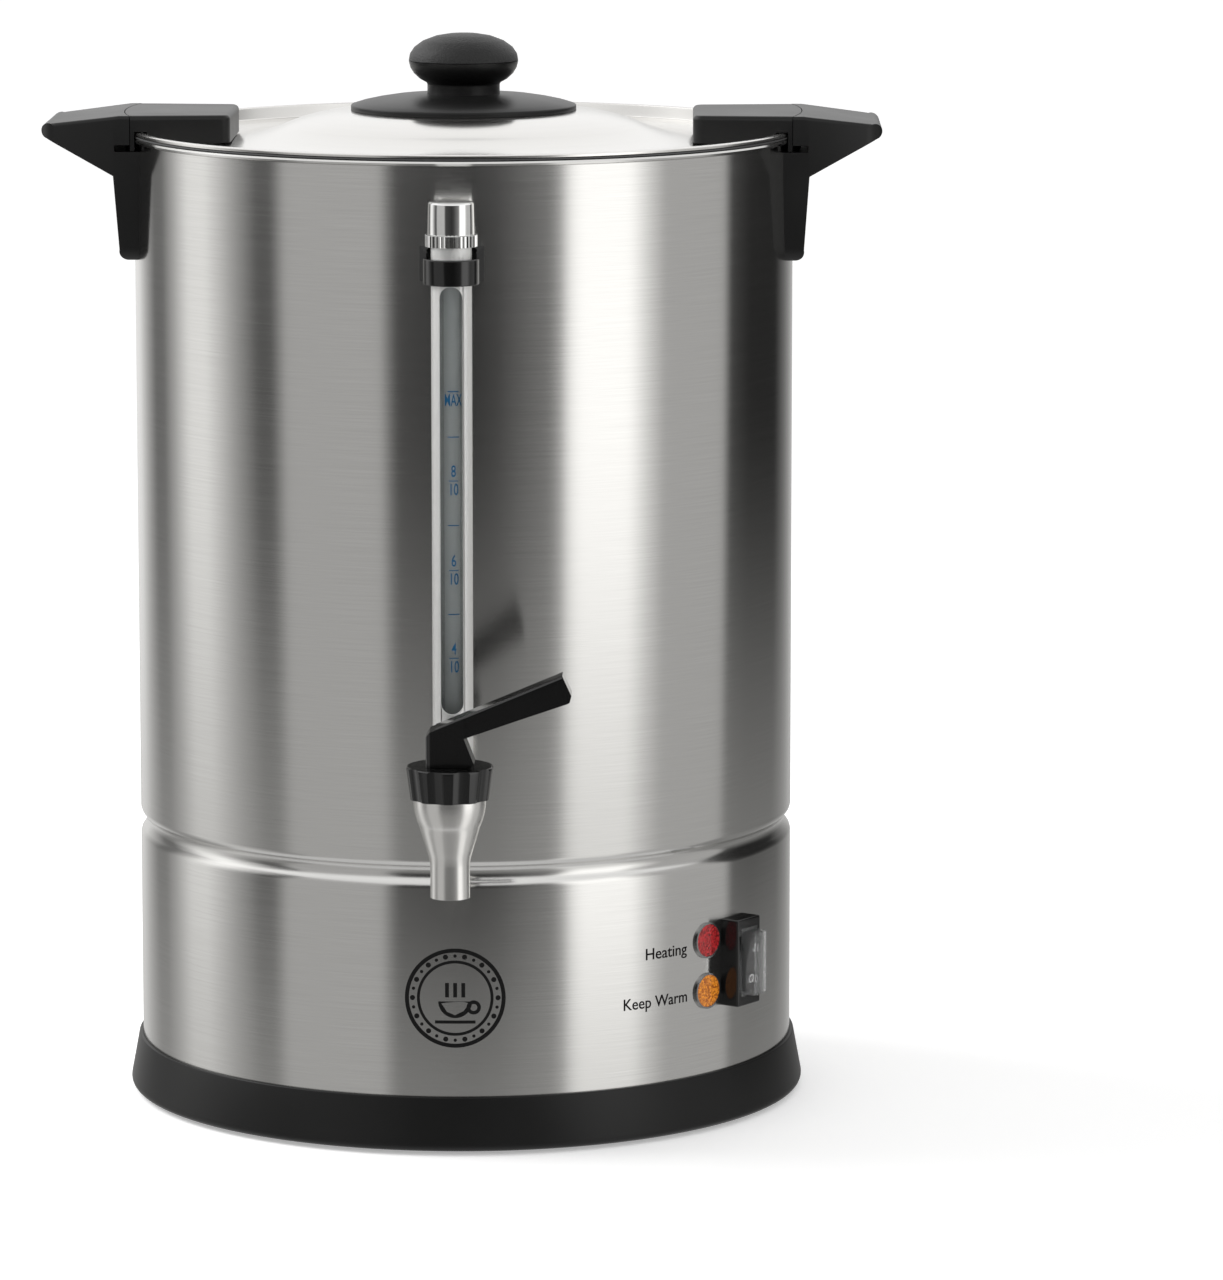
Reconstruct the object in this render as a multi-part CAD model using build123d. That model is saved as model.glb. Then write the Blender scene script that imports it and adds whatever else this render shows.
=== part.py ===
from build123d import *
import math
import os

# A free-standing electric coffee percolator urn: a steel drum with a tap, a sight gauge,
# two side grips, a lift-off lid and a heated tank floor above a hollow base.
# Millimetres. +Z is up, the tap looks towards -Y, and the origin is the centre of the
# drum on the surface that the urn stands on.

# --- Drum and base ---
drum_radius = 150.0
drum_sheet = 0.8
rim_height = 440.2            # centre of the rolled bead round the drum's mouth
rim_bead = 1.2                # radius of that bead
groove_height = 126.0         # middle of the rolled-in groove that carries the tank floor
groove_half = 6.5
groove_depth = 3.2
groove_shoulder = 3.0
skirt_height = 25.7
skirt_lip = 1.7
skirt_flare = 6.2
skirt_underside = 1.5
ledge_thickness = 4.0
ledge_width = 30.0
plate_sheet = 1.0
foot_ring_width = 7.0
foot_ring_height = 3.0
foot_ring_inset = 19.0
tab_count = 4
tab_width = 14.0
tab_reach = 16.0
tab_rise = 20.0
tab_sheet = 1.2

# --- Heated floor ---
floor_sheet = 1.0
floor_flange = 12.0
well_radius = 30.0
well_depth = 9.0
heat_plate_radius = 76.0
heat_plate_thickness = 5.0
element_radius = 58.0
element_tube = 4.25
element_arc = 300.0
element_leg = 18.0
stud_circle = 69.0
stud_radius = 2.0
stud_length = 14.0
sensor_circle = 43.0
sensor_radius = 8.0
sensor_height = 7.0

# --- Lid ---
lid_sheet = 0.6
lid_roll = 0.9                # radius of the lid's rolled edge
lid_wall_gap = 0.8            # between the lid's wall and the inside of the drum
lid_trough_depth = 5.9        # from the top of the rolled edge down to the flat trough
lid_dome_height = 13.8        # from the trough up to the flat top
lid_dome_top = 50.0           # radius where the dome turns flat
lid_dome_foot = 114.0         # radius where the dome meets the trough
seal_thickness = 0.7
flange_radius = 51.3
flange_edge = 2.0
flange_rise = 7.4
flange_dip = 0.6              # the knob's neck sits this far below the cone's crown
neck_radius = 16.5
neck_length = 5.3
knob_radius = 24.9
knob_height = 27.2            # from the flange's crown to the top of the knob
knob_crown = 12.4             # from the knob's widest line up to its top
knob_screw_radius = 2.5
knob_socket = 11.0            # depth of the screw's hole in the knob
ear_inner = 104.4             # from the axis to the ear's inner end
ear_half_width = 38.0
ear_taper = 4.5
ear_height = 12.4
ear_lift = 1.1                # the ear's underside stands this far above the trough
ear_slab = 1.9
ear_boss_circle = 127.0
ear_boss_spread = 18.0
ear_boss_radius = 4.5
ear_screw_radius = 1.75

# --- Grips ---
grip_reach = 39.9             # from the drum to the grip's tip
grip_half_width = 38.0
grip_tip_half_width = 33.0
grip_fall = 4.0               # how far the top face falls towards the tip
grip_tip_height = 6.5
grip_root_depth = 27.1        # from the top face down to the corner above the leg
leg_top_thickness = 7.0
leg_end_thickness = 4.7
leg_length = 38.6
leg_end_half_width = 34.0
hook_slot_height = 3.1
hook_slot_depth = 6.7
hook_slot_drop = 16.2         # from the top face down to the slot's floor
grip_screw_radius = 2.5

# --- Sight gauge ---
gauge_stand_off = 14.0        # from the drum to the gauge's axis
glass_radius = 6.0
glass_wall = 1.5
guard_radius = 8.9
guard_wall = 1.2
guard_top_drop = 34.6         # from the rim down to the guard's top end
guard_slot_width = 9.6
guard_slot_top_drop = 51.5
guard_slot_floor = 201.6
gauge_ring_radius = 11.4
gauge_ring_height = 5.1
gauge_cap_radius = 10.4
gauge_cap_top_radius = 10.0
gauge_cap_height = 14.3
knurl_count = 36
collar_radius = 12.3
collar_height = 11.3
collar_top_drop = 39.8
clamp_width = 27.9
clamp_rise = 5.0

# --- Tap ---
tap_reach = 55.0              # from the drum to the tap's upright axis
shank_height = 158.0
shank_radius = 8.0
shank_bore = 4.5
outlet_end = 126.9
outlet_radius = 8.6
outlet_bore = 7.0
bell_radius = 15.7
bell_top = 170.6
chamber_radius = 12.5
valve_room = 9.5
seat_height = 151.0
seat_hole = 5.5
bonnet_radius = 19.2
bonnet_taper = 1.9
bonnet_height = 14.3
bonnet_roof = 3.9
flute_count = 10
flute_radius = 9.0
flute_depth = 1.1
stem_radius = 3.0
stem_eye = 3.5
pin_radius = 1.5
pin_rise = 9.2                # from the bonnet's roof up to the lever's pin
lever_half_width = 8.0
arm_half_width = 7.0
lever_cam_rate = 5.5          # stem lift for each radian of lever, mm
lever_travel = 30.0           # degrees
seat_cup_radius = 7.2
seat_cup_height = 6.0
spring_radius = 5.2
spring_wire = 0.45
spring_turns = 7

# --- Controls ---
switch_azimuth = 55.0
switch_height = 75.3
switch_width = 17.5
switch_length = 39.8
switch_stand = 9.4
switch_neck_width = 12.5
switch_neck_length = 31.0
rocker_width = 8.3
rocker_half_length = 12.3
rocker_pivot = 6.0            # height of the pivot above the drum
rocker_face = 12.2
rocker_tilt = 7.0             # degrees each side of level
cover_width = 10.5
cover_length = 29.2
cover_stand = 6.7
cover_wall = 0.8
lamp_azimuth = 48.0
lamp_height = 75.2            # midway between the two lamps
lamp_spacing = 23.1
lens_radius = 7.3
lens_dome = 2.6
lamp_stem = 5.9
bezel_width = 0.8
inlet_height = 70.0
inlet_width = 24.0
inlet_length = 50.0
inlet_body_width = 20.0
inlet_body_length = 27.0
inlet_flange = 3.0
inlet_depth = 20.0

# --- Percolator insert ---
pump_foot_radius = 27.0
pump_tube_radius = 5.0
pump_wall = 1.0
pump_top_drop = 15.0          # from the rim down to the tube's top end
basket_radius = 90.0
basket_height = 60.0
basket_top_drop = 30.0
basket_sheet = 0.8
perforation = 2.0

# --- Clearances ---
running = 0.05                # radial, a shaft that turns or slides in its hole
easy = 0.1                    # pieces that drop into each other
loose = 0.4                   # neighbours that pass without touching

# --- Worked out from the sizes above ---
inner_radius = drum_radius - drum_sheet
ledge_top = skirt_underside + ledge_thickness
shell_bottom = ledge_top + plate_sheet
floor_bottom = groove_height + groove_half + 0.3
floor_top = floor_bottom + floor_sheet
rim_top = rim_height + rim_bead
seal_bottom = rim_top + running
seal_top = seal_bottom + seal_thickness
lid_roll_height = seal_top + running + lid_roll
lid_top = lid_roll_height + lid_roll
trough_top = lid_top - lid_trough_depth
dome_top = trough_top + lid_dome_height
lid_wall_radius = inner_radius - lid_wall_gap
flange_crown = dome_top + flange_rise
ear_bottom = trough_top + ear_lift
ear_top = ear_bottom + ear_height
ear_channel = inner_radius + 2 * rim_bead + 0.3
ear_outer = ear_channel + ear_slab
grip_inner = ear_outer + loose
slot_floor = ear_top - hook_slot_drop
gauge_y = -(drum_radius + gauge_stand_off)
guard_top = rim_height - guard_top_drop
tap_y = -(drum_radius + tap_reach)
bonnet_bottom = bell_top - 0.2
bonnet_top = bonnet_bottom + bonnet_height
roof_underside = bonnet_top - bonnet_roof
pin_height = bonnet_top + pin_rise
basket_top = rim_height - basket_top_drop
basket_bottom = basket_top - basket_height

UPWARD = (Align.CENTER, Align.CENTER, Align.MIN)


# --- Shapes used by several pieces ---
def disc(radius, low, high):
    """An upright solid cylinder between two heights."""
    return Pos(0, 0, low) * Cylinder(radius, high - low, align=UPWARD)


def ring(inner, outer, low, high):
    """An upright tube between two radii and two heights."""
    return disc(outer, low, high) - disc(inner, low - 1, high + 1)


def block(low, high):
    """A box between two opposite corners."""
    size = [b - a for a, b in zip(low, high)]
    return Pos(*[(a + b) / 2 for a, b in zip(low, high)]) * Box(*size)


def turned(outline):
    """A solid of revolution about Z, from an outline drawn as radius and height."""
    return revolve(Plane.XZ * make_face(outline), Axis.Z)


def prism(outline, half_width):
    """An outline drawn in X and Z, made solid by the same width each side of it."""
    return extrude(Plane.XZ * make_face(outline), half_width, both=True)


def torus_arc(mean, tube, height, arc=360.0):
    """A round bar bent about Z, over all or part of a turn."""
    return revolve(Plane.XZ * Pos(mean, height) * Circle(tube), Axis.Z, revolution_arc=arc)


def facing(azimuth, radius, height):
    """A frame on the drum: X runs round it to the right, Y up, and Z straight out."""
    a = math.radians(azimuth)
    return Plane(
        origin=(radius * math.sin(a), -radius * math.cos(a), height),
        x_dir=(math.cos(a), math.sin(a), 0),
        z_dir=(math.sin(a), -math.cos(a), 0),
    ).location


def lying(radius, start, end, height):
    """A level cylinder along Y at x = 0, between two distances."""
    return Pos(0, start, height) * Rot(-90, 0, 0) * Cylinder(radius, end - start, align=UPWARD)


def pan_screw(radius, length, head_radius, head_height):
    """A screw that points up from its head's seat at z = 0, with the head below."""
    body = disc(radius, 0, length) + disc(head_radius, -head_height, 0)
    return fillet(body.edges().group_by(Axis.Z)[0], head_height * 0.45)


def group(solids):
    """Like pieces that share one node, kept as separate solids."""
    return Compound(children=list(solids))


# --- Drum, base and floor ---
def groove_line(skin):
    """One side of the rolled-in groove, as three tangent arcs; skin is the depth into the sheet."""
    reach = (groove_depth**2 + groove_half**2) / (2 * groove_depth)
    shoulder = drum_radius - groove_shoulder
    valley = shoulder + reach - groove_depth
    shoulder_arc = groove_shoulder - skin
    valley_arc = reach - groove_shoulder + skin
    lean = math.degrees(math.asin(groove_half / reach))
    return [
        CenterArc((shoulder, groove_height - groove_half), shoulder_arc, 0, lean),
        CenterArc((valley, groove_height), valley_arc, 180 - lean, 2 * lean),
        CenterArc((shoulder, groove_height + groove_half), shoulder_arc, -lean, lean),
    ]


def drum_openings():
    """Everything that is cut through the drum's wall."""
    screw_heights, clamp_height = grip_screw_heights(), collar_middle()
    cuts = [lying(shank_radius + easy, -drum_radius - 5, -inner_radius + 5, shank_height)]
    cuts += [lying(grip_screw_radius, -drum_radius - 5, -inner_radius + 5, clamp_height)]
    for height in screw_heights:
        hole = lying(grip_screw_radius, -drum_radius - 5, -inner_radius + 5, height)
        cuts += [Rot(0, 0, 90) * hole, Rot(0, 0, -90) * hole]
    for height in lamp_heights():
        cuts.append(facing(lamp_azimuth, drum_radius, height) * Cylinder(lamp_stem + easy, 12))
    neck = Box(switch_neck_width + 2 * easy, switch_neck_length + 2 * easy, 12)
    cuts.append(facing(switch_azimuth, drum_radius, switch_height) * neck)
    socket = Box(inlet_body_width + 2 * easy, inlet_body_length + 2 * easy, 12)
    cuts.append(facing(180, drum_radius, inlet_height) * socket)
    for spread in (-1, 1):
        hole = Cylinder(inlet_screw_radius(), 12)
        cuts.append(facing(180, drum_radius, inlet_height + spread * inlet_screw_spread()) * hole)
    return cuts


def body_shell():
    outer, inner = groove_line(0), groove_line(drum_sheet)
    low, high = groove_height - groove_half, groove_height + groove_half
    outline = [
        Line((inner_radius, shell_bottom), (drum_radius, shell_bottom)),
        Line((drum_radius, shell_bottom), (drum_radius, low)),
        *outer,
        Line((drum_radius, high), (drum_radius, rim_height)),
        Line((drum_radius, rim_height), (inner_radius, rim_height)),
        Line((inner_radius, rim_height), (inner_radius, high)),
        *inner,
        Line((inner_radius, low), (inner_radius, shell_bottom)),
    ]
    shell = turned(outline) + torus_arc(inner_radius + rim_bead, rim_bead, rim_height)
    return shell - drum_openings()


def base_screw_places():
    radius = inner_radius - tab_reach / 2
    return PolarLocations(radius, tab_count, start_angle=45)


def body_tabs():
    """Four angle tabs spot-welded inside the drum's lower edge."""
    upright = ring(inner_radius - tab_sheet, inner_radius, shell_bottom, shell_bottom + tab_rise)
    level = ring(inner_radius - tab_reach, inner_radius, shell_bottom, shell_bottom + tab_sheet)
    stock = upright + level
    hole = disc(base_screw_radius(), shell_bottom - 1, shell_bottom + 3)
    holes = [place * hole for place in base_screw_places()]
    half = tab_width / 2
    low, high = (inner_radius - 2 * tab_reach, -half, 0), (drum_radius, half, shell_bottom + 2 * tab_rise)
    window = block(low, high)
    turns = [Rot(0, 0, 45 + 360 / tab_count * i) for i in range(tab_count)]
    return group((stock & turn * window) - holes for turn in turns)


def base_screw_radius():
    return 1.9


def base_screws():
    screw = pan_screw(base_screw_radius(), ledge_thickness + 7, 3.4, 1.8)
    return group(Pos(0, 0, skirt_underside + 1.9) * place * screw for place in base_screw_places())


def base_skirt():
    """A moulded ring round the foot of the drum, with a ledge under the bottom plate."""
    foot = drum_radius + skirt_flare
    corner = 4.5
    outline = [
        Line((drum_radius + easy, skirt_height), (drum_radius + skirt_lip, skirt_height)),
        Line((drum_radius + skirt_lip, skirt_height), (foot, skirt_underside + corner)),
        ThreePointArc(
            (foot, skirt_underside + corner),
            (foot - 1.1, skirt_underside + 1.3),
            (foot - corner, skirt_underside),
        ),
        Line((foot - corner, skirt_underside), (drum_radius - ledge_width, skirt_underside)),
        Line((drum_radius - ledge_width, skirt_underside), (drum_radius - ledge_width, ledge_top)),
        Line((drum_radius - ledge_width, ledge_top), (drum_radius + easy, ledge_top)),
        Line((drum_radius + easy, ledge_top), (drum_radius + easy, skirt_height)),
    ]
    skirt = turned(outline)
    skirt = fillet(skirt.edges().group_by(Axis.Z)[-1], 0.5)
    middle = drum_radius - foot_ring_inset
    skirt -= ring(middle - foot_ring_width / 2, middle + foot_ring_width / 2, -1, foot_ring_height)
    skirt -= [place * disc(base_screw_radius() + easy, 0, 10) for place in base_screw_places()]
    skirt -= [place * disc(3.8, 0, skirt_underside + 1.9) for place in base_screw_places()]
    return skirt


def foot_ring():
    middle = drum_radius - foot_ring_inset
    rubber = ring(middle - foot_ring_width / 2, middle + foot_ring_width / 2, 0, foot_ring_height)
    return fillet(rubber.edges().group_by(Axis.Z)[0], 0.6)


def bottom_plate():
    plate = disc(drum_radius, ledge_top, shell_bottom)
    plate -= [place * disc(base_screw_radius() + easy, 0, 10) for place in base_screw_places()]
    for circle, count in ((40, 10), (70, 16)):
        slots = Pos(0, 0, ledge_top + plate_sheet / 2) * extrude(SlotOverall(16, 4), 2, both=True)
        plate -= [place * slots for place in PolarLocations(circle, count)]
    return plate


def tank_floor():
    """A drawn pan that sits on the groove, with a round well for the pump's foot."""
    outer, lip = inner_radius, floor_top + floor_flange
    step = well_radius + floor_sheet
    outline = Polyline(
        (0, floor_bottom - well_depth),
        (step, floor_bottom - well_depth),
        (step, floor_bottom),
        (outer, floor_bottom),
        (outer, lip),
        (outer - floor_sheet, lip),
        (outer - floor_sheet, floor_top),
        (well_radius, floor_top),
        (well_radius, floor_top - well_depth),
        (0, floor_top - well_depth),
        close=True,
    )
    pan = turned(outline)
    level = [e for e in pan.edges() if abs(e.center().Z - floor_top) < 0.01]
    corner = [e for e in level if e.length > 5 * drum_radius]
    pan = fillet(corner, 3.0)
    return pan - lying(shank_radius + 6, -drum_radius, -inner_radius + 5, shank_height)


def heat_plate():
    low = floor_bottom - heat_plate_thickness
    plate = ring(well_radius + floor_sheet + easy, heat_plate_radius, low, floor_bottom)
    plate -= heating_element()
    hole = disc(stud_radius + easy, low - 1, floor_bottom + 1)
    return plate - [place * hole for place in PolarLocations(stud_circle, 3, 90)]


def element_bar():
    gap = (360 - element_arc) / 2
    return Rot(0, 0, 90 + gap) * torus_arc(element_radius, element_tube, heat_plate_bottom(), element_arc)


def heat_plate_bottom():
    return floor_bottom - heat_plate_thickness


def heating_element():
    """A sheathed bar brazed into the plate, whose two ends turn down to their terminals."""
    gap = (360 - element_arc) / 2
    bar = element_bar()
    low = heat_plate_bottom()
    for turn in (90 + gap, 90 - gap):
        end = Rot(0, 0, turn) * Pos(element_radius, 0, 0)
        knee = disc(element_tube + 0.3, low - element_leg, low + element_tube * 0.5)
        bar += end * knee
        bar += end * disc(1.5, low - element_leg - 8, low - element_leg + 1)
    return bar


def element_studs():
    stud = disc(stud_radius, floor_bottom - stud_length, floor_bottom)
    return group(place * stud for place in PolarLocations(stud_circle, 3, 90))


def element_nuts():
    low = heat_plate_bottom()
    nut = Pos(0, 0, low - 3.2) * extrude(RegularPolygon(3.5, 6, major_radius=False), 3.2)
    nut -= disc(stud_radius, low - 10, low + 1)
    return group(place * nut for place in PolarLocations(stud_circle, 3, 90))


def sensor(azimuth):
    """A disc thermostat pressed against the heat plate, with two blade terminals."""
    top = heat_plate_bottom()
    can = fillet(disc(sensor_radius, top - sensor_height, top).edges().group_by(Axis.Z)[0], 1.0)
    base = top - sensor_height
    for x in (-4.5, 4.5):
        can += block((x - 0.4, -3.1, base - 8), (x + 0.4, 3.1, base + 1))
    return Rot(0, 0, azimuth) * Pos(sensor_circle, 0, 0) * can


# --- Grips ---
def grip_screw_heights():
    top = ear_top - grip_root_depth
    return (top - 8, top - 26)


def grip_solid():
    """The right grip: a tapering shelf over a leg that hugs the drum."""
    tip = drum_radius + grip_reach
    tip_top = ear_top - grip_fall
    corner = ear_top - grip_root_depth
    leg_end = corner - leg_length
    leg_outer_low = drum_radius + leg_end_thickness
    profile = [
        Line((drum_radius - 12, leg_end), (drum_radius + 0.5, leg_end)),
        ThreePointArc(
            (drum_radius + 0.5, leg_end),
            (leg_outer_low - 1.0, leg_end + 1.3),
            (leg_outer_low, leg_end + 5),
        ),
        Line((leg_outer_low, leg_end + 5), (drum_radius + leg_top_thickness, corner)),
        Line((drum_radius + leg_top_thickness, corner), (tip - 2.5, tip_top - grip_tip_height)),
        ThreePointArc(
            (tip - 2.5, tip_top - grip_tip_height),
            (tip, tip_top - grip_tip_height * 0.45),
            (tip - 4.5, tip_top + 0.2),
        ),
        Line((tip - 4.5, tip_top + 0.2), (grip_inner, ear_top)),
        Line((grip_inner, ear_top), (drum_radius - 12, ear_top)),
        Line((drum_radius - 12, ear_top), (drum_radius - 12, leg_end)),
    ]
    solid = prism(profile, grip_half_width + 5)
    plan = Polyline(
        (drum_radius - 20, -grip_half_width),
        (drum_radius + leg_top_thickness, -grip_half_width),
        (tip + 1, -grip_tip_half_width),
        (tip + 1, grip_tip_half_width),
        (drum_radius + leg_top_thickness, grip_half_width),
        (drum_radius - 20, grip_half_width),
        close=True,
    )
    footprint = extrude(make_face(plan), rim_height + 60)
    tip_corners = footprint.edges().filter_by(Axis.Z).group_by(Axis.X)[-1]
    solid &= fillet(tip_corners, 10)
    front = Polyline(
        (-leg_end_half_width, leg_end - 1),
        (leg_end_half_width, leg_end - 1),
        (grip_half_width, corner),
        (grip_half_width, ear_top + 1),
        (-grip_half_width, ear_top + 1),
        (-grip_half_width, corner),
        close=True,
    )
    elevation = Plane.YZ * make_face(front)
    elevation = extrude(elevation, drum_radius + grip_reach + 20)
    leg_corners = elevation.edges().filter_by(Axis.X).group_by(Axis.Z)[0]
    solid &= fillet(leg_corners, 8)
    shelf_sides = [
        e for e in solid.edges()
        if abs(e.center().Y) > grip_tip_half_width - 3 and e.center().Z > tip_top - 0.5
    ]
    solid = fillet(shelf_sides, 1.6)
    solid -= disc(drum_radius, leg_end - 10, ear_top + 10)
    solid -= disc(grip_inner, slot_floor, ear_top + 10)
    solid -= ring(grip_inner - 2, grip_inner + hook_slot_depth, slot_floor, slot_floor + hook_slot_height)
    for height in grip_screw_heights():
        solid -= Rot(0, 0, 90) * lying(grip_screw_radius, -drum_radius - 4, -drum_radius + 5, height)
    return solid


def wall_screw(height):
    """A screw driven outwards through the drum's front, its head's seat shaped to the wall."""
    screw = pan_screw(grip_screw_radius, 4.0, 4.5, 2.4)
    shaft = Cylinder(grip_screw_radius, 5, align=UPWARD)
    place = Pos(0, -inner_radius, height) * Rot(90, 0, 0)
    head = place * Pos(0, 0, 0.3) * screw & disc(inner_radius, height - 20, height + 20)
    return head + place * Pos(0, 0, -1) * shaft


def grip_screws():
    screws = [wall_screw(height) for height in grip_screw_heights()]
    return group(Rot(0, 0, side) * screw for side in (90, -90) for screw in screws)


# --- Sight gauge ---
def collar_middle():
    return rim_height - collar_top_drop - collar_height / 2


def gauge_glass():
    low, high = boss_floor(), guard_top + gauge_ring_height + gauge_cap_height - 5
    return Pos(0, gauge_y, 0) * ring(glass_radius - glass_wall, glass_radius, low, high)


def boss_top():
    return shank_height + 18


def boss_floor():
    return boss_top() - 10


def gauge_guard():
    """A metal tube round the glass, with a long round-ended window down its front."""
    tube = ring(guard_radius - guard_wall, guard_radius, boss_top(), guard_top)
    top = rim_height - guard_slot_top_drop
    half = (top - guard_slot_floor) / 2
    window = extrude(SlotOverall(2 * half, guard_slot_width, rotation=90), guard_radius + 5)
    window = Plane.XZ.location * window
    return Pos(0, gauge_y, 0) * (tube - Pos(0, 0, guard_slot_floor + half) * window)


def gauge_seals():
    """Silicone sleeves that hold the glass at its two ends."""
    inner, outer = glass_radius, guard_radius - guard_wall
    top = ring(inner, outer, guard_top - 14, guard_top)
    bottom = ring(inner, outer, boss_top(), boss_top() + 10)
    return group(Pos(0, gauge_y, 0) * s for s in (top, bottom))


def gauge_ring():
    wheel = ring(glass_radius + easy, gauge_ring_radius, guard_top, guard_top + gauge_ring_height)
    groove = Rot(0, 0, 45) * Box(0.8, 0.8, gauge_ring_height + 2)
    middle = guard_top + gauge_ring_height / 2
    wheel -= [place * Pos(0, 0, middle) * groove for place in PolarLocations(gauge_ring_radius, knurl_count)]
    return Pos(0, gauge_y, 0) * wheel


def gauge_cap():
    low = guard_top + gauge_ring_height
    high = low + gauge_cap_height
    outline = [
        Line((glass_radius + easy, low), (gauge_cap_radius, low)),
        Line((gauge_cap_radius, low), (gauge_cap_top_radius, high - 1)),
        ThreePointArc(
            (gauge_cap_top_radius, high - 1),
            (gauge_cap_top_radius - 0.3, high - 0.3),
            (gauge_cap_top_radius - 1, high),
        ),
        Line((gauge_cap_top_radius - 1, high), (1, high)),
        Line((1, high), (1, high - 4)),
        Line((1, high - 4), (glass_radius + easy, high - 4)),
        Line((glass_radius + easy, high - 4), (glass_radius + easy, low)),
    ]
    return Pos(0, gauge_y, 0) * turned(outline)


def gauge_clamp():
    """A moulded collar round the guard, with a block that reaches back to the drum."""
    high = rim_height - collar_top_drop
    low = high - collar_height
    collar = Pos(0, gauge_y, 0) * disc(collar_radius, low, high)
    collar = fillet(collar.edges(), 0.6)
    back = block(
        (-clamp_width / 2, gauge_y + 2, low + 0.8),
        (clamp_width / 2, -drum_radius + 4, high + clamp_rise),
    )
    front_edges = back.edges().group_by(Axis.Y)[0].filter_by(Axis.Z)
    front_top = back.edges().group_by(Axis.Y)[0].filter_by(Axis.X).group_by(Axis.Z)[-1]
    back = chamfer(front_edges + front_top, 3.0)
    clamp = collar + back
    clamp -= disc(drum_radius, low - 10, high + 20)
    clamp -= Pos(0, gauge_y, 0) * disc(guard_radius, low - 10, high + 20)
    return clamp - lying(grip_screw_radius, -drum_radius - 4, -drum_radius + 5, collar_middle())


def clamp_screw():
    return wall_screw(collar_middle())


# --- Tap ---
def tap_body():
    """One casting: the valve's bell and spout, the arm to the drum and the gauge's socket."""
    waist = seat_height - 5
    outline = [
        Line((0, outlet_end), (outlet_radius, outlet_end)),
        Line((outlet_radius, outlet_end), (outlet_radius, waist - 5)),
        ThreePointArc(
            (outlet_radius, waist - 5),
            (outlet_radius + 0.35, waist - 2.2),
            (outlet_radius + 1.1, waist + 0.4),
        ),
        Line((outlet_radius + 1.1, waist + 0.4), (bell_radius - 2.5, bell_top - 12.5)),
        ThreePointArc(
            (bell_radius - 2.5, bell_top - 12.5),
            (bell_radius - 0.7, bell_top - 7.2),
            (bell_radius, bell_top - 2),
        ),
        Line((bell_radius, bell_top - 2), (bell_radius, roof_underside - easy)),
        Line((bell_radius, roof_underside - easy), (0, roof_underside - easy)),
        Line((0, roof_underside - easy), (0, outlet_end)),
    ]
    body = Pos(0, tap_y, 0) * turned(outline)
    body += lying(shank_radius, tap_y + 5, -drum_radius - 8, shank_height)
    body += lying(shank_radius + 3.5, -drum_radius - 10, -drum_radius - 3, shank_height)
    body += Pos(0, gauge_y, 0) * disc(guard_radius, shank_height, boss_top())
    body += Pos(0, gauge_y, shank_height) * Sphere(guard_radius)
    cavity = disc(outlet_bore, outlet_end - 1, waist - 1) + disc(seat_hole, outlet_end, seat_height + 1)
    cavity += disc(valve_room, seat_height, roof_underside)
    cavity += disc(chamber_radius, shank_height + shank_bore + 2, roof_underside + 1)
    body -= Pos(0, tap_y, 0) * cavity
    body -= lying(shank_bore, tap_y, -drum_radius, shank_height)
    body -= lying(shank_thread(), -drum_radius - 10, -drum_radius, shank_height)
    body -= Pos(0, gauge_y, 0) * disc(glass_radius, boss_floor(), boss_top() + 1)
    body -= Pos(0, gauge_y, 0) * disc(glass_radius - glass_wall, shank_height, boss_top())
    return body


def shank_thread():
    return shank_radius - 1.5


def tap_shank():
    """The hollow threaded stub that carries the tap through the drum's wall."""
    tube = lying(shank_radius, -drum_radius - 3, -inner_radius + 14, shank_height)
    tube += lying(shank_thread(), -drum_radius - 10, -drum_radius - 3, shank_height)
    return tube - lying(shank_bore, -drum_radius - 11, -inner_radius + 15, shank_height)


def shank_nut():
    start = -inner_radius + 5.5
    nut = extrude(RegularPolygon(11, 6, major_radius=False), 5)
    nut = Pos(0, start, shank_height) * Rot(-90, 0, 0) * nut
    return nut - lying(shank_radius, start - 1, start + 6, shank_height)


def tap_gaskets():
    """Silicone washers, one on each side of the drum's wall."""
    outside = lying(shank_radius + 3.5, -drum_radius - 3, -drum_radius + 1, shank_height)
    low, high = shank_height - 30, shank_height + 30
    outside -= disc(drum_radius, low, high)
    inside = lying(shank_radius + 4, -inner_radius - 1, -inner_radius + 5.5, shank_height)
    inside &= disc(inner_radius, low, high)
    bore = lying(shank_radius, -drum_radius - 5, -inner_radius + 8, shank_height)
    return group((outside - bore, inside - bore))


def tap_bonnet():
    """A fluted nut that closes the valve and guides its stem."""
    foot = bonnet_radius - bonnet_taper
    points = [(0, bonnet_bottom), (foot, bonnet_bottom), (bonnet_radius, bonnet_top), (0, bonnet_top)]
    nut = turned(Polyline(*points, close=True))
    nut = fillet(nut.edges().group_by(Axis.Z)[-1], 1.0)
    lean = math.degrees(math.atan(bonnet_taper / bonnet_height))
    cutter = Rot(0, lean, 0) * Cylinder(flute_radius, 3 * bonnet_height)
    cutter = Pos(flute_radius - flute_depth, 0, 0) * cutter
    middle = (bonnet_bottom + bonnet_top) / 2
    reach = (foot + bonnet_radius) / 2
    nut -= [place * Pos(0, 0, middle) * cutter for place in PolarLocations(reach, flute_count)]
    nut -= disc(bell_radius + easy, bonnet_bottom - 1, roof_underside)
    return Pos(0, tap_y, 0) * (nut - disc(stem_radius + running, roof_underside - 1, bonnet_top + 1))


def seat_cup():
    """A silicone cup that closes the valve seat; the stem turns in it."""
    low = seat_height + 0.02
    cup = disc(seat_cup_radius, low, low + seat_cup_height)
    cup = fillet(cup.edges().group_by(Axis.Z)[0], 1.0)
    return Pos(0, tap_y, 0) * (cup - disc(stem_radius + running, low + 2, low + seat_cup_height + 1))


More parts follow.
